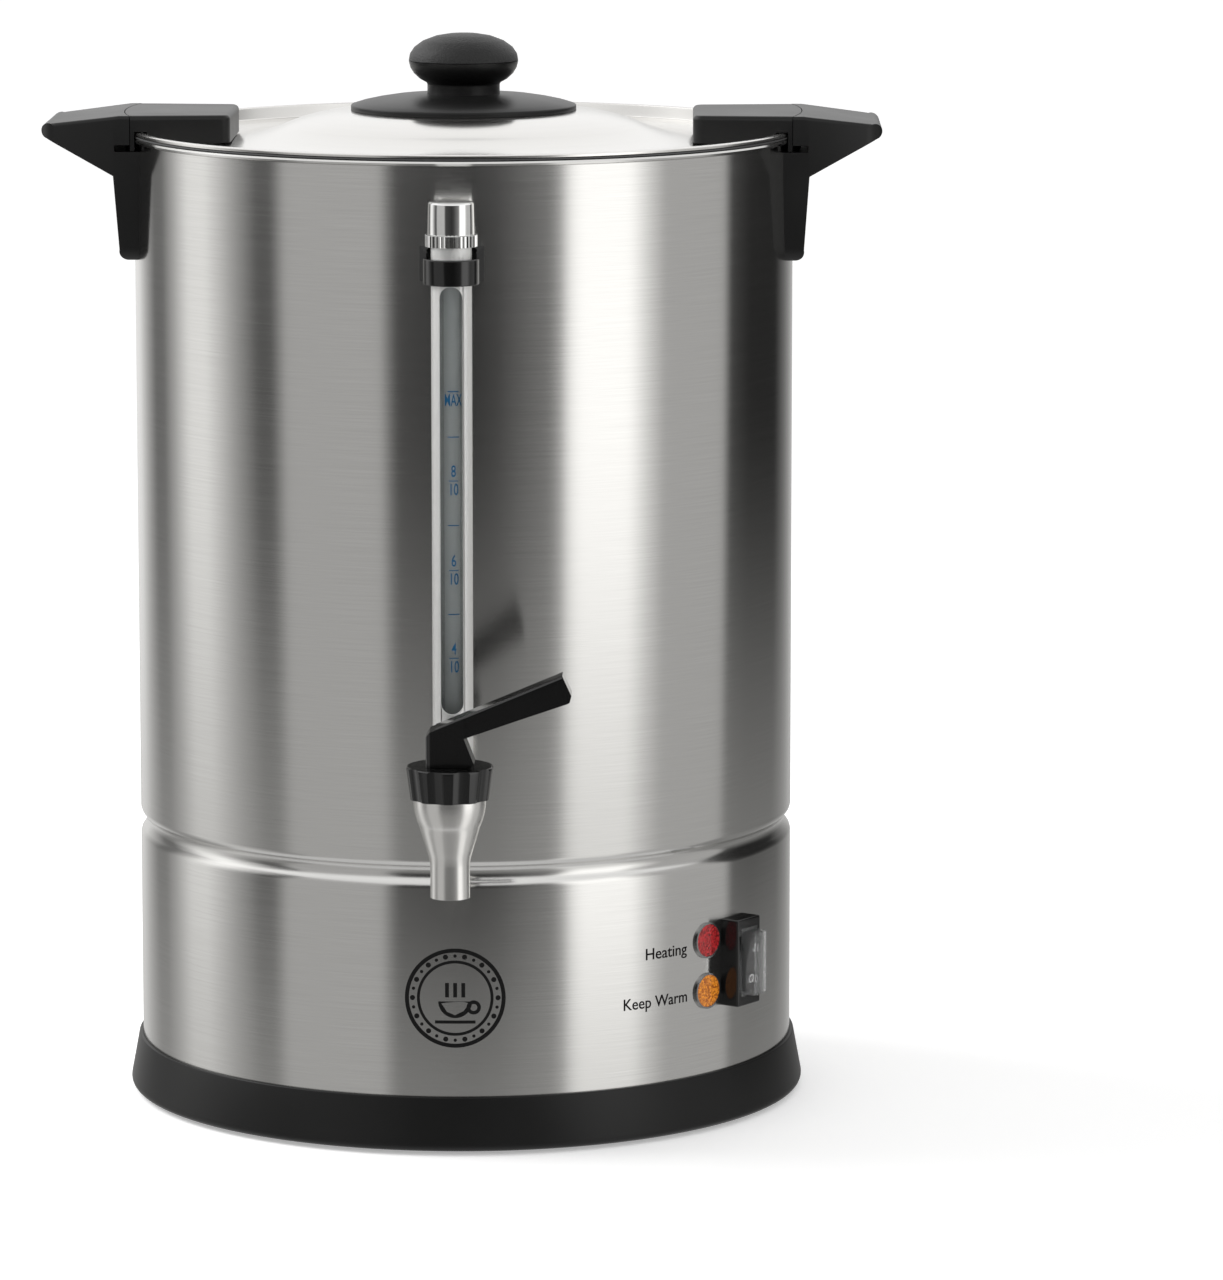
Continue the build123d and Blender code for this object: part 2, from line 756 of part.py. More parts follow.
def tap_stem():
    low = seat_height + 2.1
    rod = disc(stem_radius, low, pin_height - 2)
    eye = Pos(0, 0, pin_height) * Rot(90, 0, 0) * Cylinder(stem_eye, 5)
    hole = Pos(0, 0, pin_height) * Rot(90, 0, 0) * Cylinder(pin_radius, 20)
    return Pos(0, tap_y, 0) * (rod + eye - hole)


def lever_pin():
    pin = Rot(90, 0, 0) * Cylinder(pin_radius, 2 * lever_half_width - 1)
    return Pos(0, tap_y, pin_height) * pin


def tap_spring():
    """The closing spring, between the bonnet's roof and the seat cup."""
    low = seat_height + 0.02 + seat_cup_height + spring_wire + running
    high = roof_underside - spring_wire
    path = Helix((high - low) / spring_turns, high - low, spring_radius)
    section = Plane(origin=path @ 0, z_dir=path % 0) * Circle(spring_wire)
    return Pos(0, tap_y, low) * sweep(section, path, is_frenet=True)


def cam_point(angle):
    """A point of the lever's heel, so shaped that the stem's lift follows the angle evenly."""
    height = pin_rise - easy + lever_cam_rate * angle
    return (
        height * math.sin(angle) + lever_cam_rate * math.cos(angle),
        -height * math.cos(angle) + lever_cam_rate * math.sin(angle),
    )


def tap_lever():
    """A moulded lever: a forked foot over the stem and a hollow arm for the thumb."""
    end = math.radians(lever_travel)
    heel = pin_rise - easy
    foot = [cam_point(angle) for angle in (0, end / 2, end)]
    tower = [
        Line((-10.2, -heel), foot[0]),
        ThreePointArc(*foot),
        Line(foot[-1], (6.4, 3.6)),
        Line((6.4, 3.6), (6.4, 12.6)),
        Line((6.4, 12.6), (-8.6, 6.4)),
        Line((-8.6, 6.4), (-10.2, 4.0)),
        Line((-10.2, 4.0), (-10.2, -heel)),
    ]
    outer = [(-6.0, 4.0), (-6.0, 8.1), (48.8, 31.0), (52.7, 22.4), (51.9, 19.4), (4.0, 2.8)]
    arm = Polyline(*outer, close=True)
    solid = prism(tower, lever_half_width)
    solid = fillet(solid.edges().filter_by(Axis.Z).group_by(Axis.X)[0], 2.5)
    arm_solid = prism(arm, arm_half_width)
    top_edges = [e for e in arm_solid.edges() if e.length > 55]
    arm_solid = fillet(top_edges, 1.5)
    solid += arm_solid
    hollow = Polyline((12.0, 4.0), (12.0, 12.2), (46.8, 26.9), (50.0, 19.9), (50.0, 17.0), close=True)
    solid -= prism(hollow, arm_half_width - 2)
    window = Polyline((33.0, 12.0), (31.0, 20.0), (46.8, 26.6), (50.0, 19.9), (50.0, 16.0), close=True)
    solid -= Pos(0, -arm_half_width, 0) * prism(window, 3.0)
    wall = -stem_eye - loose
    gap = [(wall, -heel - 1), (wall, 4.6), (4.2, 4.6), (4.2, 0), (9.8, -heel - 1)]
    fork = Polyline(*gap, close=True)
    solid -= prism(fork, stem_radius + 0.3)
    solid -= Rot(90, 0, 0) * Cylinder(pin_radius + running, 2 * lever_half_width - 1 + 2 * easy)
    return Pos(0, tap_y, pin_height) * solid


# --- Controls ---
def lamp_heights():
    return (lamp_height + lamp_spacing / 2, lamp_height - lamp_spacing / 2)


def lamp(height):
    """A domed lens with its stem, pushed through the drum's wall."""
    lens = Cylinder(lens_radius, 6)
    lens = Pos(0, 0, -2.2) * lens
    crown = lens_dome
    ball = (lens_radius**2 + (crown - 0.8) ** 2) / (2 * (crown - 0.8))
    lens = lens & Pos(0, 0, crown - ball) * Sphere(ball)
    placed = facing(lamp_azimuth, drum_radius, height) * lens
    placed -= disc(drum_radius, height - 30, height + 30)
    stem = facing(lamp_azimuth, drum_radius, height) * Pos(0, 0, -8.5) * Cylinder(lamp_stem, 18)
    return placed + stem


def lamp_bezels():
    rings = []
    for height in lamp_heights():
        band = Cylinder(lens_radius + running + bezel_width, 4) - Cylinder(lens_radius + running, 6)
        band = facing(lamp_azimuth, drum_radius, height) * Pos(0, 0, -0.9) * band
        rings.append(band - disc(drum_radius, height - 30, height + 30))
    return group(rings)


def lamp_nuts():
    nuts = []
    for height in lamp_heights():
        nut = Cylinder(lamp_stem + 3, 3) - Cylinder(lamp_stem, 4)
        nuts.append(facing(lamp_azimuth, drum_radius, height) * Pos(0, 0, -drum_sheet - 1.9) * nut)
    return group(nuts)


def switch_column(low, high):
    """A block as wide as the opening in the drum's wall, between two distances from it."""
    half_width, half_length = switch_neck_width / 2, switch_neck_length / 2
    return block((-half_width, -half_length, low), (half_width, half_length, high))


def switch_frame():
    """A raised box that stands on the drum, with a neck through the wall."""
    half_width, half_length = switch_width / 2, switch_length / 2
    shell = block((-half_width, -half_length, -2), (half_width, half_length, switch_stand))
    shell = fillet(shell.edges().group_by(Axis.Z)[-1] + shell.edges().filter_by(Axis.Z), 0.9)
    shell = facing(switch_azimuth, drum_radius, switch_height) * shell
    shell -= disc(drum_radius, switch_height - 40, switch_height + 40)
    neck = switch_column(-4, 0.5)
    inside = cover_width / 2 - cover_wall
    inside_length = cover_length / 2 - cover_wall
    room = block((-inside, -inside_length, 0.8), (inside, inside_length, switch_stand + 1))
    foot = block(
        (-cover_width / 2 - 1 - running, -cover_length / 2 - 1 - running, switch_stand - 1),
        (cover_width / 2 + 1 + running, cover_length / 2 + 1 + running, switch_stand + 1),
    )
    trunnion = Pos(0, 0, rocker_pivot) * Rot(0, 90, 0) * Cylinder(1.2 + running, rocker_width + 2.4)
    place = facing(switch_azimuth, drum_radius, switch_height)
    return shell + place * neck - place * room - place * foot - place * trunnion


def switch_body():
    core = switch_column(-20, -4)
    core = fillet(core.edges().group_by(Axis.Z)[0], 1.0)
    for y in (-10, 0, 10):
        core += block((-3.1, y - 0.4, -28), (3.1, y + 0.4, -19))
    return facing(switch_azimuth, drum_radius, switch_height) * core


def switch_rocker():
    """A rocker with a shallow valley, at rest with its lower end pressed in."""
    half = rocker_half_length
    depth = rocker_face - rocker_pivot
    outline = [
        Line((-half, -3), (half, -3)),
        Line((half, -3), (half, depth)),
        ThreePointArc((half, depth), (0, depth - 1.3), (-half, depth)),
        Line((-half, depth), (-half, -3)),
    ]
    body = extrude(Plane.YZ * make_face(outline), rocker_width / 2, both=True)
    ends = [e for e in body.edges().filter_by(Axis.X) if e.center().Z > depth - 0.5]
    body = fillet(ends, 0.8)
    body += Rot(0, 90, 0) * Cylinder(1.2, rocker_width + 2)
    tilt = Rot(rocker_tilt, 0, 0)
    return facing(switch_azimuth, drum_radius, switch_height) * Pos(0, 0, rocker_pivot) * tilt * body


def splash_cover():
    """A clear boot over the rocker, held by its foot in the frame."""
    foot = block(
        (-cover_width / 2 - 1, -cover_length / 2 - 1, switch_stand - 1),
        (cover_width / 2 + 1, cover_length / 2 + 1, switch_stand),
    )
    dome = block(
        (-cover_width / 2, -cover_length / 2, switch_stand - 1),
        (cover_width / 2, cover_length / 2, switch_stand + cover_stand),
    )
    dome = fillet(dome.edges().group_by(Axis.Z)[-1] + dome.edges().filter_by(Axis.Z), 1.2)
    half_width, half_length = cover_width / 2 - cover_wall, cover_length / 2 - cover_wall
    inside = block(
        (-half_width, -half_length, switch_stand - 2),
        (half_width, half_length, switch_stand + cover_stand - cover_wall),
    )
    return facing(switch_azimuth, drum_radius, switch_height) * (foot + dome - inside)


def inlet_screw_spread():
    return inlet_length / 2 - 5


def inlet_screw_radius():
    return 1.5


def inlet_socket():
    """The appliance inlet at the back: a flange, a body through the wall and a deep recess."""
    place = facing(180, drum_radius, inlet_height)
    half_width, half_length = inlet_width / 2, inlet_length / 2
    flange = block((-half_width, -half_length, -2), (half_width, half_length, inlet_flange))
    flange = fillet(flange.edges().filter_by(Axis.Z), 4)
    flange = fillet(flange.edges().group_by(Axis.Z)[-1], 0.8)
    flange = place * flange - disc(drum_radius, inlet_height - 40, inlet_height + 40)
    half_width, half_length = inlet_body_width / 2, inlet_body_length / 2
    core = block((-half_width, -half_length, -inlet_depth), (half_width, half_length, 1))
    half_width, half_length = half_width - 2, half_length - 2
    recess = block((-half_width, -half_length, 4 - inlet_depth), (half_width, half_length, 20))
    recess = chamfer(recess.edges().filter_by(Axis.Z).group_by(Axis.X)[-1], 4)
    socket = flange + place * core - place * recess
    for y in (-7, 0, 7):
        socket -= place * inlet_pin(y)
    hole = Cylinder(inlet_screw_radius() + easy, 20)
    for y in (-inlet_screw_spread(), inlet_screw_spread()):
        socket -= place * Pos(0, y, 0) * hole
    return socket


def inlet_pin(y):
    x = 1.5 if y == 0 else -2.0
    return block((x - 2, y - 1, -inlet_depth - 7), (x + 2, y + 1, -3))


def inlet_pins():
    place = facing(180, drum_radius, inlet_height)
    return group(place * inlet_pin(y) for y in (-7, 0, 7))


def inlet_screws():
    place = facing(180, drum_radius, inlet_height)
    screw = Pos(0, 0, inlet_flange) * Rot(180, 0, 0) * pan_screw(inlet_screw_radius(), 10, 2.8, 1.6)
    return group(place * Pos(0, spread * inlet_screw_spread(), 0) * screw for spread in (-1, 1))


# --- Lid ---
def lid_seal():
    """A flat silicone ring that lies on the drum's bead under the lid's edge."""
    return ring(drum_radius - 0.4, drum_radius + 1.2, seal_bottom, seal_top)


def lid_pan():
    """One pressing: rolled edge, short wall, flat trough and a dome that rises to a flat top."""
    half = (lid_dome_foot - lid_dome_top) / 2
    bend = (half**2 + (lid_dome_height / 2) ** 2) / lid_dome_height
    middle = (lid_dome_foot + lid_dome_top) / 2
    quarter = math.asin(half / bend) / 2
    step, rise = bend * math.sin(quarter), bend * (1 - math.cos(quarter))

    def dome_line(drop):
        low, high = trough_top - drop, dome_top - drop
        waist = (middle, (low + high) / 2)
        return [
            ThreePointArc((lid_dome_foot, low), (lid_dome_foot - step, low + rise), waist),
            ThreePointArc(waist, (lid_dome_top + step, high - rise), (lid_dome_top, high)),
        ]

    wall = lid_wall_radius
    edge = drum_radius + rim_bead
    shelf = lid_roll_height + lid_roll - lid_sheet
    low = trough_top - lid_sheet
    outline = [
        Line((0, dome_top), (lid_dome_top, dome_top)),
        *dome_line(0),
        Line((lid_dome_foot, trough_top), (wall - lid_sheet, trough_top)),
        Line((wall - lid_sheet, trough_top), (wall - lid_sheet, lid_top)),
        Line((wall - lid_sheet, lid_top), (edge - lid_roll, lid_top)),
        Line((edge - lid_roll, lid_top), (edge - lid_roll, shelf)),
        Line((edge - lid_roll, shelf), (wall, shelf)),
        Line((wall, shelf), (wall, low)),
        Line((wall, low), (lid_dome_foot, low)),
        *dome_line(lid_sheet),
        Line((lid_dome_top, dome_top - lid_sheet), (0, dome_top - lid_sheet)),
        Line((0, dome_top - lid_sheet), (0, dome_top)),
    ]
    pan = turned(outline) + torus_arc(edge - lid_roll, lid_roll, lid_roll_height)
    pan -= disc(knob_screw_radius + easy, dome_top - 5, dome_top + 5)
    return pan - [hole for hole in ear_screw_holes(ear_screw_radius + easy)]


def ear_screw_places():
    places = []
    for side in (-1, 1):
        for spread in (-1, 1):
            places.append(Pos(side * ear_boss_circle, spread * ear_boss_spread, 0))
    return places


def ear_screw_holes(radius):
    return [place * disc(radius, trough_top - 5, trough_top + 9) for place in ear_screw_places()]


def ear(side):
    """A lid ear: it reaches over the rolled edge and hangs a slab outside the drum's bead."""
    bottom = slot_floor + 0.3
    narrow = ear_half_width - ear_taper
    plan = Polyline(
        (ear_inner, -narrow),
        (ear_outer + 2, -ear_half_width),
        (ear_outer + 2, ear_half_width),
        (ear_inner, narrow),
        close=True,
    )
    solid = Pos(0, 0, bottom) * extrude(make_face(plan), ear_top - bottom)
    corners = solid.edges().filter_by(Axis.Z).group_by(Axis.X)[0]
    solid = fillet(corners, 5)
    solid &= disc(ear_outer, bottom - 1, ear_top + 1)
    top = [e for e in solid.edges().group_by(Axis.Z)[-1] if e.center().X < ear_outer - 3]
    solid = fillet(top, 2.2)
    solid -= ring(lid_wall_radius - 2, ear_channel, bottom - 1, lid_top + loose)
    solid -= disc(lid_wall_radius - 1, bottom - 1, ear_bottom)
    for spread in (-1, 1):
        place = Pos(ear_boss_circle, spread * ear_boss_spread, 0)
        solid += place * disc(ear_boss_radius, trough_top, ear_bottom + 1)
        solid -= place * disc(ear_screw_radius, trough_top - 1, trough_top + 9)
    return solid if side > 0 else Rot(0, 0, 180) * solid


def ear_screws():
    screw = Pos(0, 0, trough_top - lid_sheet) * pan_screw(ear_screw_radius, 8.5, 3.2, 1.6)
    return group(place * screw for place in ear_screw_places())


def knob_flange():
    """A shallow cone on the crown of the lid, under the knob's neck."""
    outline = [
        Line((0, dome_top), (flange_radius, dome_top)),
        Line((flange_radius, dome_top), (flange_radius, dome_top + flange_edge)),
        ThreePointArc(
            (flange_radius, dome_top + flange_edge),
            ((flange_radius + neck_radius) / 2 + 1, dome_top + flange_edge + 2.6),
            (neck_radius - 2, flange_crown - flange_dip),
        ),
        Line((neck_radius - 2, flange_crown - flange_dip), (0, flange_crown - flange_dip)),
        Line((0, flange_crown - flange_dip), (0, dome_top)),
    ]
    plate = turned(outline)
    return plate - disc(knob_screw_radius + easy, dome_top - 5, flange_crown + 5)


def lid_knob():
    """A mushroom knob on a straight neck."""
    base = flange_crown - flange_dip
    socket = base + knob_socket
    wide = flange_crown + knob_height - knob_crown
    crown = EllipticalCenterArc((0, wide), knob_radius, knob_crown, start_angle=0, arc_size=86)
    outline = [
        Line((knob_screw_radius, base), (neck_radius, base)),
        Line((neck_radius, base), (neck_radius, base + neck_length)),
        ThreePointArc(
            (neck_radius, base + neck_length),
            (knob_radius - 2.5, wide - 6.0),
            (knob_radius, wide),
        ),
        crown,
        Line(crown @ 1, (0, (crown @ 1).Y)),
        Line((0, (crown @ 1).Y), (0, socket)),
        Line((0, socket), (knob_screw_radius, socket)),
        Line((knob_screw_radius, socket), (knob_screw_radius, base)),
    ]
    return turned(outline)


def knob_screw():
    return Pos(0, 0, dome_top - lid_sheet) * pan_screw(knob_screw_radius, flange_rise + 9, 5.0, 2.6)


# --- Percolator insert ---
def pump_foot():
    """A flared foot that stands in the well and feeds the tube."""
    low = floor_top - well_depth
    neck = floor_top + 20
    mouth = pump_tube_radius + pump_wall
    outline = Polyline(
        (pump_foot_radius, low),
        (pump_foot_radius, low + 4),
        (mouth, neck - 10),
        (mouth, neck),
        (pump_tube_radius, neck),
        (pump_tube_radius, neck - 9),
        (pump_tube_radius - pump_wall, neck - 9),
        (pump_tube_radius - pump_wall, neck - 11),
        (pump_foot_radius - 1.5, low + 3),
        (pump_foot_radius - 1.5, low),
        close=True,
    )
    return turned(outline)


def pump_tube():
    low, high = floor_top + 11, rim_height - pump_top_drop
    tube = ring(pump_tube_radius - pump_wall, pump_tube_radius, low, high)
    return tube + ring(pump_tube_radius - 0.2, pump_tube_radius + 4, basket_bottom - 3, basket_bottom)


def perforations(low, high):
    holes = []
    for circle, count in ((30, 12), (54, 22), (basket_radius - 12, 32)):
        holes += [place * disc(perforation, low, high) for place in PolarLocations(circle, count)]
    return holes


def filter_basket():
    """A thin cup with a perforated floor and a sleeve that slides over the tube."""
    sheet = basket_sheet
    cup = disc(basket_radius, basket_bottom, basket_top)
    cup -= disc(basket_radius - sheet, basket_bottom + sheet, basket_top + 1)
    cup += torus_arc(basket_radius + 0.6, 1.2, basket_top)
    sleeve = pump_tube_radius + easy
    cup += disc(sleeve + 1, basket_bottom, basket_top - 3)
    cup -= disc(sleeve, basket_bottom - 1, basket_top + 1)
    return cup - perforations(basket_bottom - 1, basket_bottom + sheet + 0.5)


def basket_cover():
    """The perforated spreader that lies in the basket's mouth."""
    sheet = basket_sheet
    low = basket_top - 3
    cover = disc(basket_radius - sheet - loose, low, low + sheet)
    cover += ring(basket_radius - 2 * sheet - loose, basket_radius - sheet - loose, low, low + 5)
    cover -= disc(pump_tube_radius + easy, low - 1, low + 6)
    return cover - perforations(low - 1, low + 2)


nodes = {
    "body_shell": body_shell(),
    "body_tabs": body_tabs(),
    "base_skirt": base_skirt(),
    "foot_ring": foot_ring(),
    "bottom_plate": bottom_plate(),
    "base_screws": base_screws(),
    "tank_floor": tank_floor(),
    "heat_plate": heat_plate(),
    "heating_element": heating_element(),
    "element_studs": element_studs(),
    "element_nuts": element_nuts(),
    "thermostat": sensor(-30),
    "thermal_cutout": sensor(-150),
    "right_grip": grip_solid(),
    "left_grip": Rot(0, 0, 180) * grip_solid(),
    "grip_screws": grip_screws(),
    "gauge_glass": gauge_glass(),
    "gauge_guard": gauge_guard(),
    "gauge_seals": gauge_seals(),
    "gauge_ring": gauge_ring(),
    "gauge_cap": gauge_cap(),
    "gauge_clamp": gauge_clamp(),
    "clamp_screw": clamp_screw(),
    "tap_body": tap_body(),
    "tap_shank": tap_shank(),
    "shank_nut": shank_nut(),
    "tap_gaskets": tap_gaskets(),
    "tap_bonnet": tap_bonnet(),
    "tap_spring": tap_spring(),
    "seat_cup": seat_cup(),
    "tap_stem": tap_stem(),
    "lever_pin": lever_pin(),
    "tap_lever": tap_lever(),
    "heating_lamp": lamp(lamp_heights()[0]),
    "keep_warm_lamp": lamp(lamp_heights()[1]),
    "lamp_bezels": lamp_bezels(),
    "lamp_nuts": lamp_nuts(),
    "switch_frame": switch_frame(),
    "switch_body": switch_body(),
    "switch_rocker": switch_rocker(),
    "splash_cover": splash_cover(),
    "inlet_socket": inlet_socket(),
    "inlet_pins": inlet_pins(),
    "inlet_screws": inlet_screws(),
    "lid_seal": lid_seal(),
    "lid_pan": lid_pan(),
    "right_ear": ear(1),
    "left_ear": ear(-1),
    "ear_screws": ear_screws(),
    "knob_flange": knob_flange(),
    "lid_knob": lid_knob(),
    "knob_screw": knob_screw(),
    "pump_foot": pump_foot(),
    "pump_tube": pump_tube(),
    "filter_basket": filter_basket(),
    "basket_cover": basket_cover(),
}

os.makedirs("parts", exist_ok=True)
for name, shape in nodes.items():
    export_step(shape, f"parts/{name}.step")
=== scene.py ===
import bpy
import bmesh
import math
from mathutils import Matrix, Vector


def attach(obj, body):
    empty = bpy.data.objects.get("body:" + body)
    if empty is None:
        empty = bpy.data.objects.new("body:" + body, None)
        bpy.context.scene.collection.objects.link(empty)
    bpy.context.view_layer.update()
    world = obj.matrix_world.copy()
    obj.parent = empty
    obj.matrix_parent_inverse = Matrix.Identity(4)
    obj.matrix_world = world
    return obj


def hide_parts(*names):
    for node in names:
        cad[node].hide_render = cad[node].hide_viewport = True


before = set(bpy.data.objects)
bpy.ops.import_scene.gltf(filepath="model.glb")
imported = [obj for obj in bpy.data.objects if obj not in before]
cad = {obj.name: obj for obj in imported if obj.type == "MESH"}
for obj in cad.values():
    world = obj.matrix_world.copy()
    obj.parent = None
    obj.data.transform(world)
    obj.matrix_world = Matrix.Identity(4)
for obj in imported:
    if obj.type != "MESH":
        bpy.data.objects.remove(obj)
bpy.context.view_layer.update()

# The drum: one sheet of stainless steel, rolled, seam-welded and brushed round its girth.
# Its mouth is rolled outwards into a bead, and a groove near the foot is rolled inwards
# to carry the tank's floor.


class Varying:
    """A value that changes over a surface; sums written on it become nodes."""

    def __init__(self, finish, socket):
        self.finish, self.socket = finish, socket

    def _sum(self, operation, first, second):
        return self.finish.node("ShaderNodeMath", {"operation": operation}, {0: first, 1: second})

    def __add__(self, other):
        return self._sum("ADD", self, other)

    def __radd__(self, other):
        return self._sum("ADD", other, self)

    def __mul__(self, other):
        return self._sum("MULTIPLY", self, other)

    def __rmul__(self, other):
        return self._sum("MULTIPLY", other, self)

    def __truediv__(self, other):
        return self._sum("DIVIDE", self, other)

    def __pow__(self, other):
        return self._sum("POWER", self, other)

    def __gt__(self, other):
        return self._sum("GREATER_THAN", self, other)


class Finish:
    """A material finish: one surface shader, and whatever varies over the surface."""

    def __init__(self, name, colour, **constants):
        self.material = bpy.data.materials.new(name)
        self.material.use_nodes = True
        self.tree = self.material.node_tree
        self.shader = self.tree.nodes["Principled BSDF"]
        self.shader.inputs["Base Color"].default_value = (*colour, 1)
        self.material.diffuse_color = (*colour, 1)
        for key, value in constants.items():
            socket = key.replace("_", " ").title().replace("Ior", "IOR")
            self.shader.inputs[socket].default_value = value

    def node(self, kind, settings, values, out=0):
        made = self.tree.nodes.new(kind)
        for key, value in settings.items():
            if key == "stops":
                ramp = made.color_ramp
                for position, colour in value[1:-1]:
                    ramp.elements.new(position)
                for element, (position, colour) in zip(ramp.elements, value):
                    element.position = position
                    element.color = colour if len(colour) == 4 else (*colour, 1)
            else:
                setattr(made, key, value)
        for key, value in values.items():
            if isinstance(value, Varying):
                self.tree.links.new(value.socket, made.inputs[key])
            else:
                made.inputs[key].default_value = value
        return Varying(self, made.outputs[out])

    def place(self, centre=(0, 0, 0), stretch=(1, 1, 1)):
        """Where a point is on the object, in metres, from a centre."""
        here = self.node("ShaderNodeTexCoord", {}, {}, "Object")
        centred = self.node("ShaderNodeVectorMath", {"operation": "SUBTRACT"}, {0: here, 1: centre})
        return self.stretched(centred, stretch)

    def stretched(self, vector, factors):
        return self.node("ShaderNodeVectorMath", {"operation": "MULTIPLY"}, {0: vector, 1: factors})

    def parts(self, vector):
        split = self.tree.nodes.new("ShaderNodeSeparateXYZ")
        self.tree.links.new(vector.socket, split.inputs[0])
        return [Varying(self, output) for output in split.outputs]

    def round_about(self, centre, along, up):
        """A place unrolled round an upright axis: length round it, then height."""
        x, y, z = self.parts(self.place(centre))
        turn = self.node("ShaderNodeMath", {"operation": "ARCTAN2"}, {0: x, 1: y})
        return self.node("ShaderNodeCombineXYZ", {}, {0: turn * along, 1: z * up})

    def noise(self, vector, scale, detail=2.0, rough=0.5):
        return self.node("ShaderNodeTexNoise", {}, {
            "Vector": vector, "Scale": scale, "Detail": detail, "Roughness": rough})

    def blend(self, share, first, second):
        colours = {0: share, 6: (*first, 1) if isinstance(first, tuple) else first,
                   7: (*second, 1) if isinstance(second, tuple) else second}
        return self.node("ShaderNodeMix", {"data_type": "RGBA"}, colours, 2)

    def feed(self, socket, value):
        self.tree.links.new(value.socket, self.shader.inputs[socket])

    def bump(self, height, strength, distance):
        raised = self.node("ShaderNodeBump", {}, {
            "Height": height, "Strength": strength, "Distance": distance})
        self.feed("Normal", raised)


crease = math.radians(32)


def shaded(mesh):
    for polygon in mesh.polygons:
        polygon.use_smooth = True
    mesh.set_sharp_from_angle(angle=crease)


def finished(name, bm, finish, body, nodes):
    """Turns a shape in millimetres into a piece that rides on its body in place of CAD nodes."""
    bmesh.ops.scale(bm, vec=(0.001, 0.001, 0.001), verts=bm.verts)
    mesh = bpy.data.meshes.new(name)
    bm.to_mesh(mesh)
    bm.free()
    shaded(mesh)
    piece = bpy.data.objects.new(name, mesh)
    bpy.context.scene.collection.objects.link(piece)
    mesh.materials.append(finish.material)
    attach(piece, body)
    if nodes:
        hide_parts(*nodes)


def spun(outline, rounds=(), steps=192, centre=(0, 0)):
    """A turned shape in millimetres: a closed outline spun about an upright axis."""
    bm = bmesh.new()
    points = [bm.verts.new((r, 0, z)) for r, z in outline]
    for a, b in zip(points, points[1:] + points[:1]):
        bm.edges.new((a, b))
    bmesh.ops.spin(bm, geom=bm.verts[:] + bm.edges[:], cent=(0, 0, 0), axis=(0, 0, 1),
                   angle=2 * math.pi, steps=steps, use_merge=True)
    bmesh.ops.remove_doubles(bm, verts=bm.verts, dist=0.001)
    bmesh.ops.dissolve_degenerate(bm, dist=0.0005, edges=bm.edges)
    for radius, height, width, segments in rounds:
        rim = [e for e in bm.edges if all(
            abs(math.hypot(v.co.x, v.co.y) - radius) < 0.02 and abs(v.co.z - height) < 0.02
            for v in e.verts)]
        bmesh.ops.bevel(bm, geom=rim, offset=width, offset_type="OFFSET", segments=segments,
                        affect="EDGES", profile=0.5, material=-1)
    bmesh.ops.recalc_face_normals(bm, faces=bm.faces)
    bmesh.ops.translate(bm, vec=(*centre, 0), verts=bm.verts)
    return bm


drum_steel = Finish("drum_steel", (0.62, 0.615, 0.60), metallic=1.0, anisotropic=0.8,
                    anisotropic_rotation=0.25)
girth = drum_steel.round_about((0, 0, 0), 0.15, 1.0)
fine = drum_steel.noise(drum_steel.stretched(girth, (22, 2600, 1)), 1.0, 3.0, 0.6)
broad = drum_steel.noise(drum_steel.stretched(girth, (7, 240, 1)), 1.0, 2.0)
drum_steel.feed("Roughness", 0.10 + fine * 0.10 + broad * 0.04)
drum_steel.feed("Base Color", drum_steel.blend(fine, (0.56, 0.555, 0.54), (0.70, 0.695, 0.68)))
drum_steel.bump(fine, 0.12, 0.00004)

drum = spun(
    [(149.2, 6.5), (150, 6.5), (150, 119.5), (149.6, 121.0), (148.4, 122.6), (147.2, 124.2),
     (146.8, 126), (147.2, 127.8), (148.4, 129.4), (149.6, 131.0), (150, 132.5), (150, 438.9),
     (150.5, 438.9),
     (151.4, 439.4), (151.7, 440.2), (151.4, 441.0), (150.5, 441.4), (149.6, 441.0), (149.2, 440.2),
     (149.2, 132.5), (148.8, 131.2), (147.6, 129.6), (146.4, 127.9), (146.0, 126), (146.4, 124.1),
     (147.6, 122.4), (148.8, 120.8), (149.2, 119.5)],
    steps=256,
)
finished("drum", drum, drum_steel, "kettle", ["body_shell"])

# The steel inside: welded tabs, tank floor, bottom plate, screws, studs, pump tube and
# basket, all plain stainless pressings with a soft mill finish and no brushing.
mill_steel = Finish("mill_steel", (0.52, 0.52, 0.51), metallic=1.0, roughness=0.3)
smudge = mill_steel.noise(mill_steel.place(), 60, 3.0)
grain = mill_steel.noise(mill_steel.place(stretch=(1, 1, 12)), 700, 2.0)
mill_steel.feed("Roughness", 0.24 + smudge * 0.16)
mill_steel.feed("Base Color", mill_steel.blend(smudge, (0.46, 0.46, 0.45), (0.62, 0.62, 0.61)))
mill_steel.bump(grain, 0.1, 0.00005)


barely_round = 0.00005


def wears(finish, *names, width=0.0):
    """Gives CAD nodes a finish, and rounds their sharp edges, by a width in metres or barely."""
    for name in names:
        node = cad[name]
        node.data.materials.clear()
        node.data.materials.append(finish.material)
        if "custom_normal" in node.data.attributes:
            node.data.attributes.remove(node.data.attributes["custom_normal"])
        for polygon in node.data.polygons:
            polygon.use_smooth = True
        weld = node.modifiers.new("weld", "WELD")
        weld.merge_threshold = 0.00001
        edge = node.modifiers.new("edge", "BEVEL")
        edge.width = width or barely_round
        edge.segments = 3 if width else 1
        edge.limit_method = "ANGLE"
        edge.angle_limit = crease
        edge.harden_normals = True


